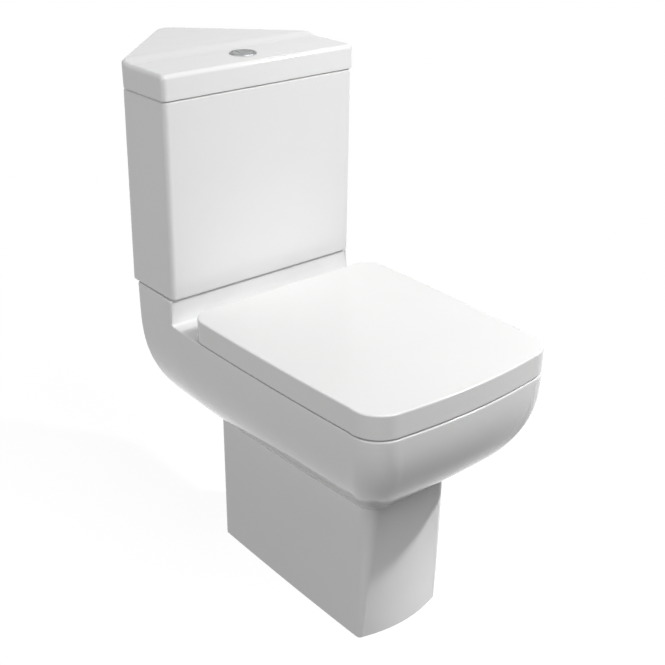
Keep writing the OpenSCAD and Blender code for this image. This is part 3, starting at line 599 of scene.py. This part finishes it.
# the trap climbs from the sump to the weir and falls to the outlet; its bore breaks through into the sump
SUMP_EXIT, SUMP_EXIT_BORE, WEIR, OUTLET = (0, -66, 95), (0, -74, 79.9), (0, -1, 218), (0, 74, 180)
TRAP_R, CROWN_R, HEEL_R, TRAP_WALL = 30, 31.5, 35.5, 9
SPIGOT_R, SPIGOT_ROOT_R, SPIGOT_BORE_R, SPIGOT_END = 51, 49.5, 43, 172
FEED_Z, FEED_R, FEED_WALL = 392, 10, 9
FLUSH_PIT_R, FLUSH_BORE_R = 47, 28
FLOOR_LUG_HALF, FLOOR_LUG_HEIGHT, FLOOR_SCREW_X, FLOOR_SCREW_Y = 62, 12, 45, 142
NUT_POCKET = [(54, 478), (160, 478), (160, 410), (150, 366), (122, 306), (96, 268), (54, 268)]


def pan_top_ring(inset, drop):
    """One ring of the pan's rounded upper edge."""
    ring = []
    for x, y in rim_outline(inset):
        z = shelf_z(y) - drop
        pull = shelf_corner(y, z)
        ring.append((x - math.copysign(pull, x), y, z))
    return ring


def bowl_line():
    """The bowl's inside from the mouth down: height, half width, half length and centre."""
    return smooth_line([
        (RIM_Z - MOUTH_EDGE, MOUTH_HALF, MOUTH_LENGTH, MOUTH_Y),
        (RIM_Z - 24, MOUTH_HALF, MOUTH_LENGTH, MOUTH_Y),
        (RIM_Z - 38, MOUTH_HALF + 0.5, MOUTH_LENGTH + 0.5, MOUTH_Y),
        (RIM_Z - 43, MOUTH_HALF + 6, MOUTH_LENGTH + 6, MOUTH_Y),
        (RIM_Z - 52, MOUTH_HALF + 10, MOUTH_LENGTH + 10, MOUTH_Y),
        (RIM_Z - 80, MOUTH_HALF + 3, MOUTH_LENGTH + 2, MOUTH_Y + 1),
        (RIM_Z - 120, MOUTH_HALF - 16, MOUTH_LENGTH - 18, MOUTH_Y + 8),
        (RIM_Z - 160, MOUTH_HALF - 42, MOUTH_LENGTH - 50, MOUTH_Y + 22),
        (RIM_Z - 200, MOUTH_HALF - 66, MOUTH_LENGTH - 82, WATER_Y - 26),
        (RIM_Z - 240, 50, 58, WATER_Y - 18), (150, 46, 47, WATER_Y - 9),
        (100, 44, 46, WATER_Y), (76, 39, 43, WATER_Y), (67, 30, 34, WATER_Y),
        (SUMP_Z, 16, 18, WATER_Y)], 4)


def underside_line():
    """The bowl's hidden outside, from under the sump up to the rim."""
    return smooth_line([
        (53, 20, 22, WATER_Y), (56, 38, 42, WATER_Y), (72, 50, 54, WATER_Y),
        (100, 56, 58, WATER_Y), (150, 58, 59, WATER_Y - 9), (206, 62, 70, WATER_Y - 18),
        (246, 72, 86, WATER_Y - 26), (288, 96, 116, MOUTH_Y + 20),
        (328, 122, 148, MOUTH_Y + 8), (372, 142, 170, MOUTH_Y + 1),
        (UNDERSIDE_TOP, 145, 172, MOUTH_Y)], 2)


def pan_outside(rim):
    """Rings from under the sump over the hidden inside of the wall, round the foot and up to the deck."""
    rings = [at(oval(b, c, y0, rim), z) for z, b, c, y0 in underside_line()]
    rings += [at_bowl(bowl_outline(t, SKIN, 128), t, UNDERSIDE_TOP, 6)
              for t in (0.97, 0.88, 0.76, 0.62, 0.48, 0.36, 0.25, 0.15, 0.07, 0.02)]
    rings += [at_junction(pedestal_outline(1, SKIN), 10), at(pedestal_outline(0, SKIN), 0),
              at(pedestal_outline(0, 1.5), 0), at(pedestal_outline(0, 0.4), 0.5),
              at(pedestal_outline(0.006, 0), 1.8)]
    rings += [at_junction(pedestal_outline(t), 1.4 * t, t) for t in spread(0.1, 1, 10)]
    rings += [at_junction(pedestal_outline(1, 0.8), 0.7), at_junction(pedestal_outline(1, 0.8), 0),
              at_junction(bowl_outline(0, 1.3), -0.3), at_junction(bowl_outline(0, 0.4), -0.8)]
    rings += [at_bowl(bowl_outline(t), t) for t in [(i / BOWL_RINGS) ** 1.5 for i in range(BOWL_RINGS)]]
    rings.append(at(rim_outline(0), RIM_Z - RIM_EDGE - 0.8))
    rings += [pan_top_ring(inset, drop) for inset, drop in rounding(RIM_EDGE, 6)]
    return rings + [pan_top_ring(RIM_EDGE + EDGE_MARGIN, 0)]


def pan_inside(rim):
    """Rings from the mouth's rounded edge down the bowl."""
    grow = MOUTH_EDGE + EDGE_MARGIN
    rings = [at(oval(MOUTH_HALF + grow, MOUTH_LENGTH + grow, MOUTH_Y, rim), RIM_Z)]
    rings += [at(oval(MOUTH_HALF + out, MOUTH_LENGTH + out, MOUTH_Y, rim), RIM_Z - drop)
              for drop, out in rounding(MOUTH_EDGE, 6)]
    return rings + [at(oval(b, c, y0, rim), z) for z, b, c, y0 in bowl_line()[1:]]


def pan_cores():
    """Walls of the trap and the rim's feed, the waste spigot and the lug for the floor screws."""
    return [pipe_core("trap_up", SUMP_EXIT, WEIR, TRAP_R + TRAP_WALL),
            pipe_core("trap_down", WEIR, OUTLET, TRAP_R + TRAP_WALL),
            ball("trap_crown", WEIR, CROWN_R + TRAP_WALL), ball("trap_heel", OUTLET, HEEL_R + TRAP_WALL),
            pipe_core("rim_feed_wall", (0, -6, FEED_Z), (0, VALVE_Y, FEED_Z), FEED_R + FEED_WALL),
            pipe_core("spigot_root", OUTLET, (0, FOOT_BACK + 0.5, OUTLET[2]), SPIGOT_ROOT_R),
            pipe_core("spigot", (0, FOOT_BACK - 0.5, OUTLET[2]), (0, SPIGOT_END, OUTLET[2]), SPIGOT_R),
            slab("floor_lug", (-FLOOR_LUG_HALF, FOOT_BACK - 8, 0),
                 (FLOOR_LUG_HALF, FOOT_BACK + 28, FLOOR_LUG_HEIGHT))]


def pan_cutters():
    """Bores of the trap, spigot, rim feed and flush, screw holes and the pockets for the coupling's nuts."""
    cut = [pipe_core("trap_up_bore", SUMP_EXIT_BORE, WEIR, TRAP_R),
           pipe_core("trap_down_bore", WEIR, OUTLET, TRAP_R),
           ball("trap_crown_bore", WEIR, CROWN_R), ball("trap_heel_bore", OUTLET, HEEL_R),
           pipe_core("spigot_bore", OUTLET, (0, SPIGOT_END + 5, OUTLET[2]), SPIGOT_BORE_R),
           pipe_core("rim_feed_bore", (0, -30, FEED_Z), (0, VALVE_Y, FEED_Z), FEED_R),
           drum("flush_pit", FLUSH_PIT_R, 470, 500, (0, VALVE_Y)),
           drum("flush_bore", FLUSH_BORE_R, 378, 480, (0, VALVE_Y))]
    for s in (-1, 1):
        cut += [drum("coupling_hole", COUPLING_HOLE_R, 440, 500, (s * BOLT_X, VALVE_Y), 32),
                drum("hinge_hole", 7, 420, 455, (s * HINGE_X, HINGE_HOLE_Y), 40),
                drum("floor_hole", 6, -2, 20, (s * FLOOR_SCREW_X, FLOOR_SCREW_Y), 32),
                prism("nut_pocket", [(s * x, z) for x, z in NUT_POCKET][::s],
                      lambda x, z, end: (x, mix(140, 220, end), z))]
    return cut


def pan():
    work = bmesh.new()
    rim = rim_outline(0)
    outside = skin(work, pan_outside(rim))
    fan(work, outside[0], underside_line()[0][0])
    inside = skin(work, pan_inside(rim))
    fan(work, inside[-1], SUMP_Z)
    deck(work, outside[-1], inside[0])
    mesh = shaped(helper(work, "pan_skin"), ("UNION", pan_cores()), ("DIFFERENCE", pan_cutters()))
    dressed(mesh, "pan_glazed", "fixed_ceramic", "ceramic", ("pan",))


def rows_across(work, ring, first, last, height):
    """Grid between the two halves of a mirrored ring, from its middle points to the pair called last."""
    n = len(ring)
    row = ring[:first][::-1] + [ring[n - 1 - i] for i in range(first)]
    count = len(row)
    for i in range(first, last + 1):
        right, left = ring[i], ring[n - 1 - i]
        y = right.co.y
        new = [right]
        for k in range(1, count - 1):
            x = mix(right.co.x, left.co.x, k / (count - 1))
            new.append(work.verts.new((x, y, height(y * 1000) * MM)))
        new.append(left)
        for k in range(count - 1):
            work.faces.new((row[k], row[k + 1], new[k + 1], new[k]))
        row = new
    return row


def deck(work, edge, mouth):
    """Fills the pan's top: rows across the shelf and the cove, then triangles round the bowl's mouth."""
    n = len(edge)
    rows_end = 70
    last = max(i for i in range(n // 2) if edge[i].co.y > rows_end * MM)
    row = rows_across(work, edge, BACK_POINTS + 1, last, shelf_z)
    outer = edge[last + 1:n - 1 - last] + row[::-1]
    verts = outer + list(mouth)
    m = len(outer)
    flat = [Vector((v.co.x, v.co.y)) * 1000 for v in verts]
    lines = [(i, (i + 1) % m) for i in range(m)]
    lines += [(m + i, m + (i + 1) % n) for i in range(n)]
    _, _, faces, source, _, _ = delaunay_2d_cdt(flat, lines, [], 0, 1e-6)
    for face in faces:
        corners = [flat[source[i][0]] for i in face]
        middle = sum(corners, Vector((0, 0))) / 3
        if encloses(flat[:m], middle) and not encloses(flat[m:], middle):
            work.faces.new([verts[source[i][0]] for i in face])


def encloses(outline_points, spot):
    """Whether a closed outline runs round the spot."""
    inside = False
    for a, b in zip(outline_points, outline_points[1:] + outline_points[:1]):
        if (a.y > spot.y) != (b.y > spot.y):
            if spot.x < a.x + (b.x - a.x) * (spot.y - a.y) / (b.y - a.y):
                inside = not inside
    return inside


# ---------------------------------------------------------------- cistern
LID_HALF, LID_FRONT, LID_SIDE, LID_TOP, LID_RAISE, LID_EDGE = 178, 90, 116, 848, 5, 7
LID_RIM_WALL, LID_UNDER, RAISE_START, RAISE_LENGTH = 13, 839, 178, 34
BUTTON_Y, BUTTON_HOLE_R = 144, 19
TIP = 384
VALVE_HOLE_R, INLET_HOLE_R, INLET_XY = 31, 11.5, (-85, 245)
WALL_HOLE_X, WALL_HOLE_Y, WALL_HOLE_Z, WALL_HOLE_R, WALL_BOSS_R = 92, 308, 752, 4, 13
PLAN_FRONT_POINTS = 10
# shares of a side's and a face's length at which the plan has points
SIDE_ROWS = [0.2, 0.4, 0.56, 0.66] + [0.7 + 0.02 * i for i in range(15)]
FACE_ROWS = [(i / 24) ** 1.5 for i in range(1, 24)]


def corner_plan(half, front, side_end, tip, corner, knee, inset, steps=8):
    """Outline for a room's corner: a front, two sides and two faces at 45 degrees."""
    hw, y0 = half - inset, front + inset
    reach = half + side_end - inset * math.sqrt(2)
    turn = math.tan(math.radians(22.5)) * knee
    points = [((hw - corner) * (i + 0.5) / PLAN_FRONT_POINTS, y0) for i in range(PLAN_FRONT_POINTS)]
    points += arc(hw - corner, y0 + corner, corner, -90, 0, steps)
    top = reach - hw - turn
    points += [(hw, mix(y0 + corner, top, t)) for t in SIDE_ROWS]
    points += arc(hw - knee, top, knee, 0, 45, steps)
    tail = arc(reach - tip + 0.8 * turn, tip - knee, knee, 45, 86, steps)
    last = points[-1]
    points += [(mix(last[0], tail[0][0], t), mix(last[1], tail[0][1], t)) for t in FACE_ROWS]
    points += tail
    points.append((tail[-1][0] / 3, tip))
    return points + [(-x, y) for x, y in reversed(points)]


def tank_plan(z, inset=0):
    """The cistern's outline at a height; it leans in a little towards the bottom of its front."""
    t = (z - TANK_LOW) / (TANK_TOP - TANK_LOW)
    low = corner_plan(178, 100.5, 222, TIP - inset, max(9 - inset * 0.5, 3), 12, inset)
    high = corner_plan(176.5, 91.5, 209, TIP - 4 - inset, max(9 - inset * 0.5, 3), 12, inset)
    return [(mix(a[0], b[0], t), mix(a[1], b[1], t)) for a, b in zip(low, high)]


def tank_rings():
    """Rings from the cistern's floor up its inside, over the wall's top and down to its underside."""
    floor_z, cove, foot_r, crest = TANK_LOW + TANK_WALL + 1, 10, 2.6, 2.4
    rings = [at(tank_plan(floor_z, TANK_WALL + cove + 4), floor_z)]
    rings += [at(tank_plan(floor_z, TANK_WALL + inset), floor_z + lift)
              for inset, lift in rounding(cove, 6)[::-1]]
    rings += [at(tank_plan(z, TANK_WALL), z) for z in spread(540, TANK_TOP - 3, 8)]
    for a in spread(20, 160, 8):
        c, s = math.cos(math.radians(a)), math.sin(math.radians(a))
        rings.append(at(tank_plan(TANK_TOP, TANK_WALL / 2 + TANK_WALL / 2 * c), TANK_TOP - crest + crest * s))
    rings += [at(tank_plan(z), z) for z in spread(TANK_TOP - 4, TANK_LOW + 5, 24)]
    rings += [at(tank_plan(TANK_LOW, inset), TANK_LOW + lift) for inset, lift in rounding(foot_r, 5)]
    return rings + [at(tank_plan(TANK_LOW, 4), TANK_LOW)]


def cistern():
    work = bmesh.new()
    made = skin(work, tank_rings())
    fan(work, made[0], TANK_LOW + TANK_WALL + 1)
    fan(work, made[-1], TANK_LOW)
    bosses, cut = [], []
    for s in (-1, 1):
        out = Vector((s * WALL_HOLE_X, WALL_HOLE_Y, WALL_HOLE_Z))
        away = Vector((s, 1, 0)).normalized()
        bosses.append(pipe_core("wall_boss", out - away * 16, out, WALL_BOSS_R))
        cut += [pipe_core("wall_hole", out - away * 40, out + away * 20, WALL_HOLE_R, 32),
                drum("coupling_hole", COUPLING_HOLE_R, 480, 520, (s * BOLT_X, VALVE_Y), 32)]
    cut += [drum("valve_hole", VALVE_HOLE_R, 480, 520, (0, VALVE_Y)),
            drum("inlet_hole", INLET_HOLE_R, 480, 520, INLET_XY, 40)]
    mesh = shaped(helper(work, "tank_skin"), ("UNION", bosses), ("DIFFERENCE", cut))
    dressed(mesh, "cistern_glazed", "fixed_ceramic", "ceramic", ("cistern_body",))


def lid_top_z(y):
    """Height of the lid's top, which is raised behind the button."""
    t = min(max((y - RAISE_START) / RAISE_LENGTH, 0), 1)
    return LID_TOP + LID_RAISE * t * t * (3 - 2 * t)


def lid_plan(inset):
    return corner_plan(LID_HALF, LID_FRONT, LID_FRONT + LID_SIDE, TIP - 4 - inset,
                       max(9 - inset * 0.5, 2), max(12 - inset * 0.5, 3), inset)


def cistern_lid():
    """The lid: a thin wall under a broad top with a soft rise towards the back."""
    work = bmesh.new()
    low, wall = TANK_TOP + 0.3, LID_RIM_WALL
    rings = [at(lid_plan(inset), z) for inset, z in (
        (24, LID_UNDER), (20.5, 837), (19, 832), (19, 800.2), (18, 799), (14, 799), (wall, 800), (wall, low),
        (3.9, low), (3.5, low + 0.3), (3.5, low + 1.1), (0.8, low + 1.3), (0.2, low + 1.7), (0, low + 2.6))]
    rings += [at(lid_plan(0), z) for z in spread(814, 839, 6)]
    rings += [[(x, y, lid_top_z(y) - drop) for x, y in lid_plan(inset)]
              for inset, drop in rounding(LID_EDGE, 9) + [(LID_EDGE + 1.5, 0)]]
    made = skin(work, rings)
    fan(work, made[0], LID_UNDER)
    border = made[-1]
    half = len(border) // 2
    row = rows_across(work, border, PLAN_FRONT_POINTS + 1, half - 2, lid_top_z)
    work.faces.new(row + [border[half], border[half - 1]])
    hole = drum("button_hole", BUTTON_HOLE_R, 780, 880, (0, BUTTON_Y))
    mesh = shaped(helper(work, "lid_skin"), ("DIFFERENCE", [hole]))
    dressed(mesh, "cistern_lid_glazed", "lift_off_lid", "ceramic", ("cistern_lid",))


# ---------------------------------------------------------------- seat
LID_LOW, SEAT_TOP, LID_PLATE, LID_SKIRT, SEAT_EDGE = 452, 490, 6, 5, 2.4
RING_LOW, RING_TOP, RING_GAP = 453, 471, 7
RING_HOLE_HALF, RING_HOLE_LENGTH = 108, 138
CLEAR_LOW, CLEAR_HIGH = 440, 500


def seat_outline(inset, rear_corner=SEAT_REAR_CORNER):
    return outline(RIM_HALF - inset, SIDE_BOW, RIM_FRONT - inset, FRONT_BOW, FRONT_CORNER - inset / 2,
                   SEAT_BACK - inset, rear_corner - inset / 2, [i / 60 for i in range(1, 60)])


def ring_outline(inset):
    """The ring's rear corners are rounder than the lid's, so that the lid's wall turns past them."""
    return seat_outline(inset, SEAT_REAR_CORNER + RING_CORNER_EXTRA)


def across(name, points):
    """A cutter right across the seat, from a Y-Z outline."""
    return prism(name, points, lambda y, z, end: (mix(-190, 190, end), y, z))


def on_hinge(name, start, end, r):
    """A round core or cutter along the hinge's axis."""
    return pipe_core(name, (start, HINGE_Y, HINGE_Z), (end, HINGE_Y, HINGE_Z), r)


def lid_rings():
    """Rings of the lid from the plate's underside, down the skirt's inside and up its outside."""
    tip = 1.6
    rings = [at(seat_outline(LID_SKIRT + inset), SEAT_TOP - LID_PLATE - drop)
             for inset, drop in ((6, 0), (3, 0), (1, 1), (0, 3))]
    rings += [at(seat_outline(LID_SKIRT), z) for z in spread(476, LID_LOW + tip, 5)]
    for a in spread(0, 180, 9):
        c, s = math.cos(math.radians(a)), math.sin(math.radians(a))
        rings.append(at(seat_outline(LID_SKIRT / 2 + c * LID_SKIRT / 2), LID_LOW + tip - tip * s))
    rings += [at(seat_outline(0), z) for z in spread(LID_LOW + 3, SEAT_TOP - 3, 6)]
    rings += [at(seat_outline(inset), SEAT_TOP - drop) for inset, drop in rounding(SEAT_EDGE, 7)]
    return rings + [at(seat_outline(4), SEAT_TOP)]


def heel_cutter():
    """Rounds the lower rear edge of the lid, on which it turns."""
    heel, behind = 16, SEAT_BACK + 7
    below = LID_LOW - 5
    return across("heel", [(SEAT_BACK - heel, below), (behind, below), (behind, LID_LOW + heel)]
                  + arc(SEAT_BACK - heel, LID_LOW + heel, heel, 0, -90, 14))


def seat_lid():
    work = bmesh.new()
    made = skin(work, lid_rings())
    fan(work, made[0], SEAT_TOP - LID_PLATE)
    fan(work, made[-1], SEAT_TOP)
    lugs, cut = [], []
    for s in (-1, 1):
        x = s * HINGE_X
        inner, outer = x - s * LUG_END, x - s * LUG_START
        lugs += [on_hinge("lug", inner, outer, LUG_R),
                 slab("lug_web", (inner, HINGE_Y - 5, HINGE_Z),
                      (outer, HINGE_Y + 5, SEAT_TOP - LID_PLATE + 1))]
        cut += [slab("post_notch", (x - s * 7.6, HINGE_Y + 5, CLEAR_LOW),
                     (x + s * 27, HINGE_Y + 17, HINGE_Z + 12)),
                on_hinge("damper_bore", inner - s, outer + s, DAMPER_R)]
    mesh = shaped(helper(work, "lid_skin"), ("UNION", lugs), ("DIFFERENCE", cut + [heel_cutter()]))
    dressed(mesh, "seat_lid_moulded", "cover", "seat_plastic", ("seat_lid",))


def ring_rings():
    """Rings round the seat ring: from its outer lower edge over the top and down the hole."""
    low, top = RING_LOW, RING_TOP
    rim = ring_outline(RING_GAP)
    rings = [at(ring_outline(RING_GAP + inset), z) for inset, z in (
        (2.5, low), (0.8, low + 0.6), (0, low + 2.4), (0, low + 8), (0, top - 6), (0.5, top - 3.4),
        (1.8, top - 1.5), (4, top - 0.4), (6.5, top))]
    return rings + [at(oval(RING_HOLE_HALF + grow, RING_HOLE_LENGTH + grow, MOUTH_Y + 4, rim), z)
                    for grow, z in (
        (26, top), (20, top - 0.3), (14, top - 1.2), (9, top - 2.8), (5, top - 5), (2, top - 7.6),
        (0.4, top - 10), (0, low + 5), (0.8, low + 2.4), (3, low + 0.6), (6, low))]


def seat_ring():
    work = bmesh.new()
    made = skin(work, ring_rings())
    skin_between(work, made[-1], made[0])
    sweep = arc(HINGE_Y, HINGE_Z, LID_SWEEP, 270 - 10, 90, 40)
    clear = [across("lid_sweep", sweep + [(HINGE_Y + 20, CLEAR_HIGH), (HINGE_Y + 20, CLEAR_LOW),
                                          (HINGE_Y - 3, CLEAR_LOW)])]
    lugs, bores = [], []
    for s in (-1, 1):
        x = s * HINGE_X
        inner, outer = x + s * LUG_START, x + s * LUG_END
        clear += [on_hinge("corner_sweep", s * CORNER_SWEEP_X, s * 190, CORNER_SWEEP),
                  slab("post_notch", (x - s * 10.5, HINGE_Y - 12, CLEAR_LOW),
                       (x + s * 8, HINGE_Y + 28, CLEAR_HIGH))]
        lugs += [on_hinge("lug", inner, outer, LUG_R),
                 slab("lug_web", (inner, HINGE_Y - LID_SWEEP - 3, HINGE_Z - 8.5),
                      (outer, HINGE_Y, HINGE_Z + 0.9))]
        bores.append(on_hinge("damper_bore", inner - s, outer + s, DAMPER_R))
    mesh = shaped(helper(work, "ring_skin"), ("DIFFERENCE", clear), ("UNION", lugs), ("DIFFERENCE", bores))
    dressed(mesh, "seat_ring_moulded", "ring", "seat_plastic", ("seat_ring",))


# ---------------------------------------------------------------- flush button
BEZEL = [(17, 822), (17, 847.6), (17.4, 848.6), (18.2, 849.6), (19, 850), (20.2, 849.9), (21, 849.2),
         (21.5, 848.3), (21.5, 848), (18, 848), (18, 818), (3, 818), (3, 822)]
DISH = [(0.5, 848.1), (5, 848.2), (10, 848.6), (14, 849.1), (15.6, 849.35), (16.2, 849.3), (16.55, 848.9),
        (16.65, 848.2), (16.65, 839), (14.5, 839), (14.5, 846), (12, 846.6), (0.5, 846.6)]
SPLIT_X, SPLIT_GAP, ROD_X, ROD_HOLE_R = -3, 0.8, 8, 3.2


def lathe(work, profile):
    """The rings of a piece turned round the button's axis, from a line of (radius, height)."""
    return skin(work, [circle(r, z, (0, BUTTON_Y), 96) for r, z in profile])


def bezel():
    work = bmesh.new()
    made = lathe(work, BEZEL)
    skin_between(work, made[-1], made[0])
    holes = [drum("rod_hole", ROD_HOLE_R, 810, 830, (x, BUTTON_Y - 6), 32) for x in (-ROD_X, ROD_X)]
    mesh = shaped(helper(work, "bezel_turned"), ("DIFFERENCE", holes))
    dressed(mesh, "button_bezel_chromed", "lift_off_lid", "chrome", ("button_bezel",), 35)


def half_button(node, body, cut_from, cut_to):
    """One half of the dished disc: a slab takes the other half away between the two X values."""
    work = bmesh.new()
    made = lathe(work, DISH)
    for ring, (_, z) in ((made[0], DISH[0]), (made[-1], DISH[-1])):
        fan(work, ring, z)
    other = slab("other_half", (cut_from, 100, 830), (cut_to, 190, 860))
    mesh = shaped(helper(work, node + "_disc"), ("DIFFERENCE", [other]))
    half = dressed(mesh, node + "_chromed", body, "chrome", (node,), 30)
    soft = half.modifiers.new("soft_edges", "BEVEL")
    soft.width, soft.segments, soft.limit_method = 0.00035, 3, "ANGLE"
    soft.angle_limit = math.radians(50)
    half.modifiers.move(1, 0)


pan()
cistern()
cistern_lid()
seat_lid()
seat_ring()
bezel()
half_button("full_flush_button", "full_flush", -40, SPLIT_X + SPLIT_GAP / 2)
half_button("half_flush_button", "half_flush", SPLIT_X - SPLIT_GAP / 2, 40)


# ---------------------------------------------------------------- floor and backdrop
FLOOR_HALF, FLOOR_BOUNCE, WORLD_FILL = 30, 0.06, 0.09
SHADOW_REACH, SHADOW_FADE = 1.5, 0.8


def studio_floor():
    """A pale floor that looks white but keeps the toilet's soft shadow near it."""
    work = bmesh.new()
    work.faces.new([work.verts.new((x * FLOOR_HALF, y * FLOOR_HALF, 0))
                    for x, y in ((-1, -1), (1, -1), (1, 1), (-1, 1))])
    floor = helper(work, "studio_floor")
    f = Finish("pale_floor", Base_Color=(FLOOR_BOUNCE,) * 3, Roughness=0.9, Specular_IOR_Level=0.0)
    white = Wire(f, f.make("ShaderNodeEmission").outputs[0])
    lit, shaded = f.make("ShaderNodeEmission"), f.make("ShaderNodeBsdfDiffuse")
    lit.inputs["Strength"].default_value = 0.93
    shaded.inputs["Color"].default_value = (0.16, 0.16, 0.16, 1)
    near = f.make("ShaderNodeAddShader")
    for socket, part in zip(near.inputs, (lit, shaded)):
        f.tree.links.new(part.outputs[0], socket)
    distance = f.node("ShaderNodeVectorMath", {"operation": "LENGTH"}, 1, Vector=f.place())
    nearness = distance.within(-1, SHADOW_REACH, SHADOW_FADE)
    seen = f.mixed(nearness, white, Wire(f, near.outputs[0]))
    surface = f.mixed(f.seen_directly(), Wire(f, f.shader.outputs[0]), seen)
    f.put(f.tree.nodes["Material Output"].inputs["Surface"], surface)
    floor.data.materials.append(f.material)


def studio_world():
    """A white background that lights the toilet only a little."""
    world = bpy.data.worlds.new("studio_world")
    bpy.context.scene.world = world
    world.use_nodes = True
    w = Kit(world.node_tree)
    fill, white = w.tree.nodes["Background"], w.make("ShaderNodeBackground")
    for background, strength in ((fill, WORLD_FILL), (white, 1.0)):
        background.inputs["Color"].default_value = (1, 1, 1, 1)
        background.inputs["Strength"].default_value = strength
    surface = w.mixed(w.seen_directly(), Wire(w, fill.outputs[0]), Wire(w, white.outputs[0]))
    w.put(w.tree.nodes["World Output"].inputs["Surface"], surface)


studio_floor()
studio_world()
